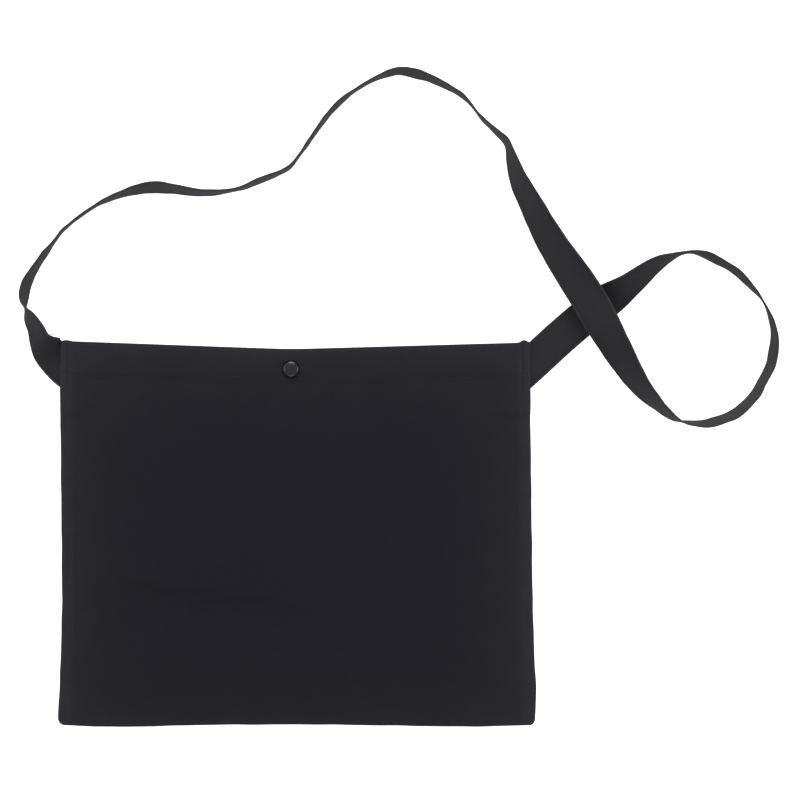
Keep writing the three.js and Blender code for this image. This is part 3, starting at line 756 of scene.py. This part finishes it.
def held_end(side):
    """The strap's end inside a seam, and the point where it passes the seam, as rows of x, y and lean."""
    seam, out = seam_exit(side)
    inner = seam - out * STRAP_INSET / abs(out[0])
    return np.array([[*inner, 0], [*seam, 0]])


def route_points():
    """The route's rows as points of the plan with their lean, from the right seam to the left one."""
    right, _ = seam_exit(1)
    left, _ = seam_exit(-1)
    across, up, lean = np.array(STRAP_ROUTE, float).T
    x = left[0] + (right[0] - left[0]) * across
    x = np.where(across > 1, right[0] + (across - 1) * RING_REACH, x)
    x = np.where(across < 0, left[0] + across * BEND_REACH, x)
    y = right[1] + up * STRAP_RISE
    free = np.stack([x, y, lean], axis=-1)
    return np.concatenate([held_end(1), free, held_end(-1)[::-1]])


def smoothed(values, reach):
    """A running mean with the weights of a bell curve, whose ends stay where they are."""
    offsets = np.arange(-3 * reach, 3 * reach + 1)
    weights = np.exp(-0.5 * (offsets / reach) ** 2)
    weights /= weights.sum()
    pad = 3 * reach
    start = 2 * values[0] - values[pad:0:-1]
    end = 2 * values[-1] - values[-2 : -2 - pad : -1]
    return np.convolve(np.concatenate([start, values, end]), weights, mode="valid")


def find_crossing(x, y):
    """The steps of the earlier and the later pass where the line crosses itself: the first pair of its
    pieces whose ends lie on opposite sides of one another, and which aren't near neighbours."""
    px, py = x[:-1], y[:-1]
    dx, dy = np.diff(x), np.diff(y)

    def side(rows, ends):
        return dx[rows] * (y[ends] - py[rows]) - dy[rows] * (x[ends] - px[rows])

    rows = np.arange(len(px))[:, None]
    others = np.arange(len(px))[None, :]
    parted = side(rows, others) * side(rows, others + 1) < 0
    found = parted & parted.T & (others > rows + CROSSING_APART)
    lower, upper = np.argwhere(found)[0]
    return lower, upper


def strap_run():
    """The strap's middle line at even steps: place, lean, direction in the plan, and height. A step's
    height lets its lower edge rest on the surface, plus what the seams and the crossing lift it by."""
    points = route_points()
    chords = np.hypot(*np.diff(points[:, :2], axis=0).T)
    reach = np.concatenate([[0], np.cumsum(chords)])
    total = reach[-1]
    at = np.linspace(0, total, round(total / STRAP_STEP) + 1)
    x = smoothed(along_table(reach, points[:, 0], at), EVENING)
    y = smoothed(along_table(reach, points[:, 1], at), EVENING)
    from_end = np.minimum(at, total - at)
    lean = np.radians(along_table(reach, points[:, 2], at))
    lean = smoothed(lean * ease(from_end, 2 * STRAP_INSET, 2 * STRAP_INSET + FLAT_RUN), EVENING)
    length = np.hypot(np.gradient(x), np.gradient(y))
    direction = np.stack([np.gradient(x) / length, np.gradient(y) / length], axis=-1)
    standing = STRAP_WIDTH / 2 * np.abs(np.sin(lean)) + STRAP_THICKNESS / 2 * np.abs(np.cos(lean))
    lower, upper = find_crossing(x, y)
    covered = np.abs(at - at[lower]) < COVERED_SHARE * STRAP_WIDTH
    carried = np.max(2 * standing[covered]) + GAP
    held = SEAM_HEIGHT * (1 - ease(from_end - STRAP_INSET, 0, SETTLE_RUN))
    climbed = carried * (1 - ease(np.abs(at - at[upper]), STRAP_WIDTH / 2, CROSSING_RUN))
    z = smoothed(standing + held + climbed, EVENING)
    middle = np.stack([x, y, z], axis=-1)
    return dict(at=at, from_end=from_end, middle=middle, direction=direction, lean=lean)


def strap_axes(run):
    """The two ways of the strap's section at each step: along its width, slanted near the seams so that it
    lies along them, and through its thickness."""
    direction = run["direction"]
    normal = np.stack([-direction[:, 1], direction[:, 0]], axis=-1)
    slant = 1 - ease(run["from_end"], STRAP_INSET, STRAP_INSET + SLANT_RUN)
    seam_way = np.stack([np.zeros(len(normal)), np.where(normal[:, 1] < 0, -1, 1)], axis=-1)
    ruling = normal + (seam_way - normal) * slant[:, None]
    ruling = ruling / np.sum(ruling * normal, axis=1)[:, None]
    level = np.cos(run["lean"])[:, None]
    upright = np.sin(run["lean"])[:, None]
    width_way = np.concatenate([ruling * level, upright], axis=1)
    thick_way = np.concatenate([-normal * upright, level], axis=1)
    return width_way, thick_way


def strap_surface(run, aside, side):
    """Points on the strap's upper (side 1) or lower (side −1) face at distances aside from its middle: half
    the thickness, rounded at the edges as a quarter circle, with a groove at each stitched row and a faint
    ripple of the edges."""
    half = STRAP_WIDTH / 2
    round_run = STRAP_THICKNESS / 2
    away = np.clip((half - np.abs(aside)) / round_run, 0, 1)
    thick = STRAP_THICKNESS / 2 * np.sqrt(1 - (1 - away) ** 2)
    thick = thick + TAPE_GROOVE * groove(half - EDGE_STITCH - np.abs(aside)) * (away >= 1)
    wave = EDGE_RIPPLE * uneven_wave(run["at"], EDGE_RIPPLE_LENGTH, phase=0.8)
    wave = wave * ease(run["from_end"], *EDGE_RIPPLE_START)
    ripple = wave[:, None] * (aside / half) ** 2 * np.sign(aside)
    width_way, thick_way = strap_axes(run)
    offset = side * thick[None, :] + ripple
    points = run["middle"][:, None, :] + width_way[:, None, :] * aside[None, :, None]
    return points + thick_way[:, None, :] * offset[:, :, None]


def strap_columns():
    """Distances from the strap's middle of the lines along it, closer at the rounded edges and the rows."""
    half = STRAP_WIDTH / 2
    rim = STRAP_THICKNESS / 2 * (1 - np.cos(np.linspace(0, math.pi / 2, TAPE_RIM_LINES)))
    row = EDGE_STITCH + np.array(TAPE_ROW_LINES)
    even = np.linspace(EDGE_STITCH + 2 * GROOVE_WIDTH, half, TAPE_MIDDLE_LINES + 1)[:-1]
    from_edge = np.concatenate([rim, row, even])
    return np.concatenate([from_edge - half, [0.0], (half - from_edge)[::-1]])


def strap():
    """The strap: its upper and lower faces joined at the two edges, and closed at both ends. What would lie
    below the surface is pressed flat. The cloth's map is the unrolled tape, with its length along U."""
    run = strap_run()
    aside = strap_columns()
    upper = strap_surface(run, aside, 1)
    lower = strap_surface(run, aside[1:-1][::-1], -1)
    ring = np.concatenate([upper, lower], axis=1)
    steps, around = ring.shape[:2]
    points = ring.reshape(-1, 3)
    points[:, 2] = np.maximum(points[:, 2], 0)
    index = np.arange(steps * around).reshape(steps, around)
    closed = np.concatenate([index, index[:, :1]], axis=1)
    quads = grid_quads(closed)
    half = STRAP_WIDTH / 2
    back = 2 * half - aside[1:-1][::-1]
    across = np.concatenate([aside, back, [3 * half]]) + half
    along, over = np.meshgrid(run["at"], across, indexing="ij")
    flat = np.stack([along, over], axis=-1).reshape(-1, 2)
    cells = grid_quads(np.arange(flat.shape[0]).reshape(steps, around + 1))
    ends = np.stack([index[0][::-1], index[-1]])
    end_uv = np.stack([flat[:around][::-1], flat[-around - 1 : -1]])
    to_edge = half - np.abs(np.concatenate([aside, aside[1:-1][::-1]]))
    # The tape's rubbed edges are lighter with a painted sheen, and it has no painted edge light.
    wear_and_sheen = np.broadcast_to(np.exp(-to_edge / TAPE_WEAR_SHEEN_REACH), (steps, around)).ravel()
    shares = dict(wear_and_sheen=wear_and_sheen, painted_light=np.zeros(len(points)))
    return write_mesh("strap_tape", points, [quads, ends], [flat[cells], end_uv], shares), run


# Stitches


def stitches(name, starts, ends, ups):
    """Rows of stitches, each a short rod of thread from its start to its end. Along it the thread stands
    out of the cloth as the sine of the way, and its thickness falls off to the ends as the root of that.
    What would lie below the surface is pressed flat."""
    along = np.linspace(0, 1, STITCH_RINGS)
    bow = np.sin(math.pi * along)
    turn = np.linspace(0, 2 * math.pi, STITCH_SIDES, endpoint=False)
    way = ends - starts
    length = np.linalg.norm(way, axis=1, keepdims=True)
    forward = way / length
    aside = np.cross(forward, ups)
    aside = aside / np.linalg.norm(aside, axis=1, keepdims=True)
    outward = np.cross(aside, forward)
    radius = THREAD / 2 * (THREAD_TIP + (1 - THREAD_TIP) * np.sqrt(np.clip(bow, 0, 1)))
    out = THREAD * (THREAD_BOW * bow - THREAD_SINK)
    middle = starts[:, None, :] + way[:, None, :] * along[None, :, None]
    middle = middle + outward[:, None, :] * out[None, :, None]
    ring_aside = radius[:, None] * np.cos(turn)[None, :]
    ring_out = radius[:, None] * np.sin(turn)[None, :]
    rods = middle[:, :, None, :]
    rods = rods + aside[:, None, None, :] * ring_aside[None, :, :, None]
    rods = rods + outward[:, None, None, :] * ring_out[None, :, :, None]
    rods[..., 2] = np.maximum(rods[..., 2], 0)
    each = STITCH_RINGS * STITCH_SIDES
    base = (np.arange(len(starts)) * each)[:, None, None]
    index = np.arange(each).reshape(STITCH_RINGS, STITCH_SIDES)
    closed = np.concatenate([index, index[:, :1]], axis=1)
    quads = (base + grid_quads(closed)[None]).reshape(-1, 4)
    first = (base + index[:1][:, ::-1][None]).reshape(-1, STITCH_SIDES)
    last = (base + index[-1:][None]).reshape(-1, STITCH_SIDES)
    return write_mesh(name, rods.reshape(-1, 3), [quads, np.concatenate([first, last])])


def row_along(line, ups):
    """The starts, ends and outward ways of the stitches of one row: the line is cut at even lengths, and
    each stitch is centred in its share."""
    steps = np.linalg.norm(np.diff(line, axis=0), axis=1)
    reach = np.concatenate([[0], np.cumsum(steps)])
    count = int(reach[-1] / STITCH_PITCH)
    middles = (np.arange(count) + 0.5) * reach[-1] / count
    half = STITCH_LENGTH / 2

    def at(distance, values):
        return np.stack([np.interp(distance, reach, values[:, k]) for k in range(3)], axis=-1)

    return at(middles - half, line), at(middles + half, line), at(middles, ups)


def join_rows(rows):
    """The starts, ends and outward ways of several rows, each as one array."""
    return [np.concatenate(parts) for parts in zip(*rows)]


def up_share(across, to_mouth):
    """The share of the height at a distance below the mouth's edge."""
    base = place_on_bag(across, np.zeros_like(across))["y"]
    mouth = mouth_edge(across)
    return (mouth - to_mouth - base) / (mouth - base)


def hem_row(side):
    """The hem's row on the front (side 1) or the back (side −1), from seam to seam."""
    across = np.linspace(HEM_ROW_INSET, 1 - HEM_ROW_INSET, HEM_ROW_POINTS)
    place = place_on_bag(across, up_share(across, HEM_STITCH))
    face = front_face(place) if side > 0 else back_face(place) + THREAD / 3
    line = np.stack([place["x"], place["y"], face], axis=-1)
    return row_along(line, np.tile([0.0, 0.0, side], (len(line), 1)))


def tack_row(side):
    """The short row on the front beside a strap end, from the mouth down."""
    to_mouth = np.linspace(TACK_START, TACK_RUN, TACK_ROW_POINTS)
    inside = TACK_STITCH / BAG_WIDTH
    across = np.full(TACK_ROW_POINTS, 1 - inside if side > 0 else inside)
    place = place_on_bag(across, up_share(across, to_mouth))
    line = np.stack([place["x"], place["y"], front_face(place)], axis=-1)
    return row_along(line, np.tile([0.0, 0.0, 1.0], (len(line), 1)))


def strap_rows(run):
    """The rows along both edges of the strap, on its upper and its lower face."""
    _, thick_way = strap_axes(run)
    shown = run["from_end"] > STRAP_INSET + 1
    rows = []
    for face in (1, -1):
        for edge in (1, -1):
            aside = np.array([edge * (STRAP_WIDTH / 2 - EDGE_STITCH)])
            line = strap_surface(run, aside, face)[:, 0]
            rows.append(row_along(line[shown], face * thick_way[shown]))
    return rows


# Snap fastener


def turned(name, profile, base):
    """A profile of radius and height turned round the snap's upright axis: a point at radius r and turn a
    lies at (r cos a, r sin a). A profile that starts and ends on the axis gets a pole there, and any other
    is a closed ring. Heights count from base."""
    profile = np.asarray(profile, float)
    turn = np.linspace(0, 2 * math.pi, ROUND_SEGMENTS, endpoint=False)
    poles = profile[0, 0] == 0
    body = profile[1:-1] if poles else profile
    ring_x = SNAP_X + body[:, :1] * np.cos(turn)[None, :]
    ring_y = SNAP_Y + body[:, :1] * np.sin(turn)[None, :]
    ring_z = np.broadcast_to(base + body[:, 1:], ring_x.shape)
    points = np.stack([ring_x, ring_y, ring_z], axis=-1).reshape(-1, 3)
    index = np.arange(len(points)).reshape(len(body), ROUND_SEGMENTS)
    rings = index if poles else np.concatenate([index, index[:1]])
    quads = grid_quads(np.concatenate([rings, rings[:, :1]], axis=1))
    if not poles:
        return write_mesh(name, points, [quads])
    first, last = len(points), len(points) + 1
    ends = np.array([[SNAP_X, SNAP_Y, base + profile[k, 1]] for k in (0, -1)])
    onward = np.roll(index, -1, axis=1)
    fan_first = np.stack([np.full(ROUND_SEGMENTS, first), onward[0], index[0]], axis=-1)
    fan_last = np.stack([np.full(ROUND_SEGMENTS, last), index[-1], onward[-1]], axis=-1)
    fans = np.concatenate([fan_first, fan_last])
    return write_mesh(name, np.concatenate([points, ends]), [quads, fans])


def round_edge(centre, radius, start, end, count=6):
    """Points of an arc of the profile, from one turn in degrees to another."""
    turn = np.radians(np.linspace(start, end, count))
    return [(centre[0] + radius * math.cos(a), centre[1] + radius * math.sin(a)) for a in turn]


def cap_profile():
    """The cap: a post below, a flat underside, and a dome whose height over its foot falls off from the
    middle as (1 − share^power)^root, with the share of the way out to its edge."""
    post = POST_DIAMETER / 2
    reach = -(GAP + 2 * CLOTH + GAP + SOCKET_ROOF)
    share = np.sin(np.linspace(math.pi / 2, 0, DOME_RINGS))
    dome = FLANGE_HEIGHT + (CAP_RISE - FLANGE_HEIGHT) * np.power(1 - share**DOME_POWER, DOME_ROOT)
    radius = DOME_DIAMETER / 2
    rise = zip(radius * share[:-1], dome[:-1])
    return [(0, reach), (post, reach), (post, 0), (radius, 0), *rise, (0, CAP_RISE)]


def flange_profile():
    """The cap's thin flange: a flat ring round the dome's foot, with a round outer edge."""
    edge = FLANGE_HEIGHT / 2
    inner = DOME_DIAMETER / 2 - FLANGE_LAP
    outer = round_edge((CAP_DIAMETER / 2 - edge, edge), edge, -90, 90, count=9)
    return [(inner, 0), *outer, (inner, FLANGE_HEIGHT)]


def back_cap_profile():
    """The back cap: a flat disc with a round edge, and the post that goes up through the cloth."""
    radius = BACK_CAP_DIAMETER / 2
    post = POST_DIAMETER / 2
    reach = STUD_BASE + POST_GRIP
    half = BACK_CAP_THICKNESS / 2
    rim = round_edge((radius - half, half), half, -90, 90, count=10)
    return [(0, 0), (post, 0), *rim, (post, BACK_CAP_THICKNESS), (post, reach), (0, reach)]


def socket_profile():
    """The socket: a recess for the stud's knob, under a roof with a bore for the cap's post."""
    radius = SOCKET_DIAMETER / 2
    recess = STUD_KNOB_DIAMETER / 2 + GAP
    bore = POST_DIAMETER / 2 + GAP
    roof = SOCKET_DEPTH - SOCKET_ROOF
    foot = METAL_EDGE
    shoulder = 2 * METAL_EDGE
    lower = round_edge((radius - foot, foot), foot, -90, 0)
    upper = round_edge((radius - shoulder, SOCKET_DEPTH - shoulder), shoulder, 0, 90)
    return [(recess, 0), *lower, *upper, (bore, SOCKET_DEPTH), (bore, roof), (recess, roof)]


def stud_profile():
    """The stud: a flange with a round edge and a knob that swells from its waist, with a bore below for the
    back cap's post. A bore as thin as a hair goes on up its axis, so that the profile is a closed ring."""
    flange = STUD_FLANGE_DIAMETER / 2
    knob = STUD_KNOB_DIAMETER / 2
    bore = POST_DIAMETER / 2 + GAP
    top = STUD_FLANGE_THICKNESS + SOCKET_DEPTH - SOCKET_ROOF
    rim = STUD_FLANGE_THICKNESS / 2
    waist = KNOB_WAIST * knob
    edge = round_edge((flange - rim, rim), rim, -90, 90, count=10)
    head = round_edge((knob - METAL_EDGE, top - METAL_EDGE), METAL_EDGE, -30, 90)
    outer = [*edge, (waist, STUD_FLANGE_THICKNESS), (waist, top - 2 * METAL_EDGE), *head]
    hair = 0.01
    hollow = [(hair, top), (hair, POST_GRIP + GAP), (bore, POST_GRIP + GAP), (bore, 0)]
    return [*outer, *hollow]


# Materials


def shade(colour, factor):
    """A colour times one number, or times one number for each of its parts."""
    return tuple(float(part) for part in np.multiply(colour, factor))


class Finish:
    """A material under way, with short ways to add its nodes and to join them."""

    def __init__(self, name):
        self.material = bpy.data.materials.new(name)
        self.material.use_nodes = True
        self.tree = self.material.node_tree
        self.shader = self.tree.nodes["Principled BSDF"]

    def add(self, kind, **settings):
        node = self.tree.nodes.new("ShaderNode" + kind)
        for key, value in settings.items():
            setattr(node, key, value)
        return node

    def join(self, output, target):
        self.tree.links.new(output, target)

    def noise(self, size, detail=2.0):
        """The 0 to 1 output of noise with a grain size in millimetres, on the piece's own coordinates."""
        place = self.add("TexCoord")
        noise = self.add("TexNoise")
        noise.inputs["Scale"].default_value = 1 / (size * MM)
        noise.inputs["Detail"].default_value = detail
        self.join(place.outputs["Object"], noise.inputs["Vector"])
        return noise.outputs["Fac"]

    def ramp(self, factor, low, high, start=0.0, end=1.0):
        """The factor stretched so that low gives start and high gives end."""
        node = self.add("MapRange", clamp=True)
        node.inputs["From Min"].default_value = low
        node.inputs["From Max"].default_value = high
        node.inputs["To Min"].default_value = start
        node.inputs["To Max"].default_value = end
        self.join(factor, node.inputs["Value"])
        return node.outputs["Result"]

    def math(self, operation, a, b):
        """An operation on two values, each a number or an output."""
        node = self.add("Math", operation=operation)
        for socket, value in zip(node.inputs, (a, b)):
            if isinstance(value, (int, float)):
                socket.default_value = value
            else:
                self.join(value, socket)
        return node.outputs["Value"]

    def blend(self, factor, a, b):
        """A mix of two colours, each a triple or an output."""
        node = self.add("Mix", data_type="RGBA")
        self.join(factor, node.inputs["Factor"])
        for name, value in (("A", a), ("B", b)):
            socket = next(s for s in node.inputs if s.name == name and s.type == "RGBA")
            if isinstance(value, tuple):
                socket.default_value = (*value, 1)
            else:
                self.join(value, socket)
        return next(s for s in node.outputs if s.type == "RGBA")

    def bump(self, height, distance, strength=1.0, before=None):
        """Relief from a height, with its depth in millimetres, laid over an earlier relief."""
        node = self.add("Bump")
        node.inputs["Distance"].default_value = distance * MM
        node.inputs["Strength"].default_value = strength
        self.join(height, node.inputs["Height"])
        if before is not None:
            self.join(before, node.inputs["Normal"])
        return node.outputs["Normal"]

    def set(self, **values):
        """Constants of the shader, by socket name with _ for a space."""
        for name, value in values.items():
            self.shader.inputs[name.replace("_", " ")].default_value = value


def thread_wave(finish, uv, pitch, direction):
    """Rounded ridges one pitch apart across the cloth's own map, whose unit is a millimetre. At scale 1 the
    wave has 20 ridges in 2π units."""
    wave = finish.add("TexWave", wave_type="BANDS", bands_direction=direction, wave_profile="SIN")
    wave.inputs["Scale"].default_value = 2 * math.pi / (20 * pitch)
    wave.inputs["Distortion"].default_value = 0.0
    finish.join(uv, wave.inputs["Vector"])
    return wave.outputs["Fac"]


def woven_cloth(name, dark, light, pitch):
    """Plain-weave cotton: warp ridges and weft ridges taken in turn by a checker of single threads, with
    uneven dye, fuzz and lint. The crests of the weave carry a painted highlight, the cloth is painted
    lighter towards the bag's edges, and its rubbed rims are lighter with a painted sheen."""
    finish = Finish(name)
    uv = finish.add("UVMap", uv_map="cloth").outputs["UV"]
    warp = thread_wave(finish, uv, pitch, "X")
    weft = thread_wave(finish, uv, pitch, "Y")
    checker = finish.add("TexChecker")
    checker.inputs["Scale"].default_value = 1 / pitch
    finish.join(uv, checker.inputs["Vector"])
    over = finish.add("Mix", data_type="FLOAT")
    finish.join(checker.outputs["Fac"], over.inputs["Factor"])
    finish.join(warp, over.inputs["A"])
    finish.join(weft, over.inputs["B"])
    weave = over.outputs["Result"]

    dye = finish.ramp(finish.noise(size=60), low=0.25, high=0.75, start=0.3, end=0.7)
    colour = finish.blend(dye, dark, light)
    # Painted highlight: the crests of the weave are lighter.
    crest_highlight = finish.ramp(weave, low=0.0, high=1.0, start=0.0, end=0.35)
    colour = finish.blend(crest_highlight, colour, shade(light, CREST_HIGHLIGHT_TONE))
    # Painted light: lighter towards the bag's edges, varied by slow noise.
    painted_light = finish.add("Attribute", attribute_name="painted_light").outputs["Fac"]
    painted_light_drift = finish.ramp(finish.noise(size=24, detail=3.0), low=0.3, high=0.7, start=0.85, end=1.1)
    colour = finish.blend(finish.math("MULTIPLY", painted_light, painted_light_drift), colour, shade(light, PAINTED_LIGHT_TONE))
    lint = finish.ramp(finish.noise(size=1.3, detail=4.0), low=0.66, high=0.8, start=0.0, end=0.15)
    colour = finish.blend(lint, colour, shade(light, LINT))
    # Rubbed rims: lighter in patches, with a painted sheen.
    wear_sheen_share = finish.add("Attribute", attribute_name="wear_and_sheen").outputs["Fac"]
    patches = finish.ramp(finish.noise(size=5), low=0.3, high=0.7, start=0.3, end=0.7)
    colour = finish.blend(finish.math("MULTIPLY", wear_sheen_share, patches), colour, shade(light, RUBBED_SHEEN_TONE))
    finish.join(colour, finish.shader.inputs["Base Color"])

    rough = finish.ramp(finish.noise(size=9), low=0.3, high=0.7, start=0.84, end=0.97)
    finish.join(rough, finish.shader.inputs["Roughness"])
    fuzz = finish.bump(finish.noise(size=0.7, detail=3.0), distance=0.12, strength=0.5)
    slub = finish.bump(finish.noise(size=4.5), distance=0.35, strength=0.35, before=fuzz)
    ridges = finish.bump(weave, distance=0.16, strength=0.8, before=slub)
    finish.join(ridges, finish.shader.inputs["Normal"])
    finish.set(Specular_IOR_Level=0.06, Sheen_Weight=0.03, Sheen_Roughness=0.45)
    finish.set(Sheen_Tint=(0.86, 0.87, 0.95, 1))
    return finish.material


def thread_finish(name, colour):
    """Sewing thread: a fine twist over a smooth, slightly shinier yarn."""
    finish = Finish(name)
    tone = finish.ramp(finish.noise(size=1.1), low=0.3, high=0.7)
    mixed = finish.blend(tone, colour, shade(colour, THREAD_CREST))
    finish.join(mixed, finish.shader.inputs["Base Color"])
    twist = finish.bump(finish.noise(size=0.25), distance=0.05, strength=0.6)
    finish.join(twist, finish.shader.inputs["Normal"])
    finish.set(Roughness=0.7, Specular_IOR_Level=0.1, Sheen_Weight=0.03, Sheen_Roughness=0.4)
    return finish.material


def enamel(name, colour, rough, gloss):
    """Enamelled metal: an even dark coat with faint orange peel, handling marks and a soft gloss. rough is
    the mean roughness, and gloss sets how strongly the coat mirrors."""
    finish = Finish(name)
    tone = finish.ramp(finish.noise(size=2.5), low=0.35, high=0.65)
    mixed = finish.blend(tone, colour, shade(colour, ENAMEL_CREST))
    finish.join(mixed, finish.shader.inputs["Base Color"])
    marks = finish.noise(size=1.6, detail=4.0)
    handled = finish.ramp(marks, low=0.35, high=0.7, start=rough - 0.06, end=rough + 0.14)
    finish.join(handled, finish.shader.inputs["Roughness"])
    peel = finish.bump(finish.noise(size=0.8, detail=3.0), distance=0.02, strength=0.5)
    finish.join(peel, finish.shader.inputs["Normal"])
    finish.set(Specular_IOR_Level=gloss, Coat_Weight=0.8 * gloss, Coat_Roughness=0.26)
    return finish.material


# Stage


def floor():
    """A white table lit from inside, a hair below what rests on it."""
    plan = TABLE_HALF * np.array([[-1, -1], [1, -1], [1, 1], [-1, 1]])
    corners = np.concatenate([plan, np.full((4, 1), -TABLE_DROP)], axis=1)
    piece = write_mesh("floor", corners, [np.array([[0, 1, 2, 3]])])
    finish = Finish("lit_table")
    finish.set(Base_Color=(0.8, 0.8, 0.8, 1), Roughness=0.9, Specular_IOR_Level=0.0)
    finish.set(Emission_Color=(1, 1, 1, 1), Emission_Strength=TABLE_GLOW)
    piece.data.materials.append(finish.material)


def soft_box(name, place, power):
    """A large square light that faces the middle of the view."""
    data = bpy.data.lights.new(name, "AREA")
    data.shape = "SQUARE"
    data.size = BOX_SIZE * MM
    data.energy = power
    light = bpy.data.objects.new(name, data)
    light.location = [v * MM for v in place]
    aim = -light.location
    aim.x += VIEW_ACROSS * MM
    aim.y += VIEW_UP * MM
    light.rotation_euler = aim.to_track_quat("-Z", "Y").to_euler()
    bpy.context.scene.collection.objects.link(light)


def lights():
    """The soft boxes and the even pale surround."""
    for box in SOFT_BOXES:
        soft_box(**box)
    world = bpy.data.worlds.new("surround")
    world.use_nodes = True
    background = world.node_tree.nodes["Background"]
    background.inputs["Color"].default_value = SURROUND_COLOUR
    background.inputs["Strength"].default_value = SURROUND_STRENGTH
    bpy.context.scene.world = world


def camera():
    """Straight above, with the lens that shows the view's width at the surface."""
    data = bpy.data.cameras.new("camera")
    data.sensor_width = SENSOR
    data.lens = SENSOR * VIEW_HEIGHT / VIEW_WIDTH
    data.clip_end = 50
    piece = bpy.data.objects.new("camera", data)
    piece.location = (VIEW_ACROSS * MM, VIEW_UP * MM, VIEW_HEIGHT * MM)
    bpy.context.scene.collection.objects.link(piece)
    bpy.context.scene.camera = piece
    bpy.context.scene.view_settings.view_transform = "Standard"


def finish_piece(piece, material):
    """Gives a piece its material and its slot, and lets it ride on the bag's one body."""
    piece.data.materials.clear()
    piece.data.materials.append(material)
    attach(piece, "root")


def sew_bag(thread):
    """Both panels with their stitches. Each is a sheet, cut with its allowances and its hem."""
    cloth = woven_cloth("black_cotton", PANEL_DARK, PANEL_LIGHT, PANEL_PITCH)
    front = panel("front_cloth", FRONT_STEP, front_layers)
    finish_piece(front, cloth)
    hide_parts("front_panel")
    back = panel("back_cloth", BACK_STEP, back_layers)
    finish_piece(back, cloth)
    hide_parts("back_panel")

    front_rows = stitches("hem_stitches_front", *join_rows([hem_row(1), tack_row(1), tack_row(-1)]))
    finish_piece(front_rows, thread)
    back_rows = stitches("hem_stitches_back", *hem_row(-1))
    finish_piece(back_rows, thread)


def lay_strap(thread):
    """The strap with the rows along its edges."""
    tape, run = strap()
    finish_piece(tape, woven_cloth("black_tape", TAPE_DARK, TAPE_LIGHT, TAPE_PITCH))
    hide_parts("strap")
    edge_rows = stitches("strap_stitches", *join_rows(strap_rows(run)))
    finish_piece(edge_rows, thread)


def fasten_snap():
    """The snap's pieces in their stack."""
    cap_enamel = enamel("cap_enamel", CAP_COLOUR, rough=0.3, gloss=0.42)
    # The flange's darker, duller finish is painted shade of the ring round the dome's foot.
    flange_painted_shade = enamel("flange_painted_shade", FLANGE_SHADE_COLOUR, rough=0.7, gloss=0.08)
    inner_enamel = enamel("inner_enamel", INNER_COLOUR, rough=0.45, gloss=0.4)

    cap = turned("round_cap", cap_profile(), CAP_BASE)
    finish_piece(cap, cap_enamel)
    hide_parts("snap_cap")
    flange = turned("cap_flange", flange_profile(), CAP_BASE)
    finish_piece(flange, flange_painted_shade)
    back_cap = turned("round_back_cap", back_cap_profile(), 0)
    finish_piece(back_cap, cap_enamel)
    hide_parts("snap_back_cap")
    socket = turned("round_socket", socket_profile(), SOCKET_BASE)
    finish_piece(socket, inner_enamel)
    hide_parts("snap_socket")
    stud = turned("round_stud", stud_profile(), STUD_BASE)
    finish_piece(stud, inner_enamel)
    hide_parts("snap_stud")


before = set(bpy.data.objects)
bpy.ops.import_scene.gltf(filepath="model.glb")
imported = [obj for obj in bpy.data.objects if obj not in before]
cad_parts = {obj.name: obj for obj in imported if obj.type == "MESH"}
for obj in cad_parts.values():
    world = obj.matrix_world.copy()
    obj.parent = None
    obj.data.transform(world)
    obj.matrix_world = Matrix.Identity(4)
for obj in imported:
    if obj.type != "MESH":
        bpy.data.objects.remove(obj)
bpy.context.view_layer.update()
camera()
floor()
lights()
black_thread = thread_finish("black_thread", THREAD_COLOUR)
sew_bag(black_thread)
lay_strap(black_thread)
fasten_snap()
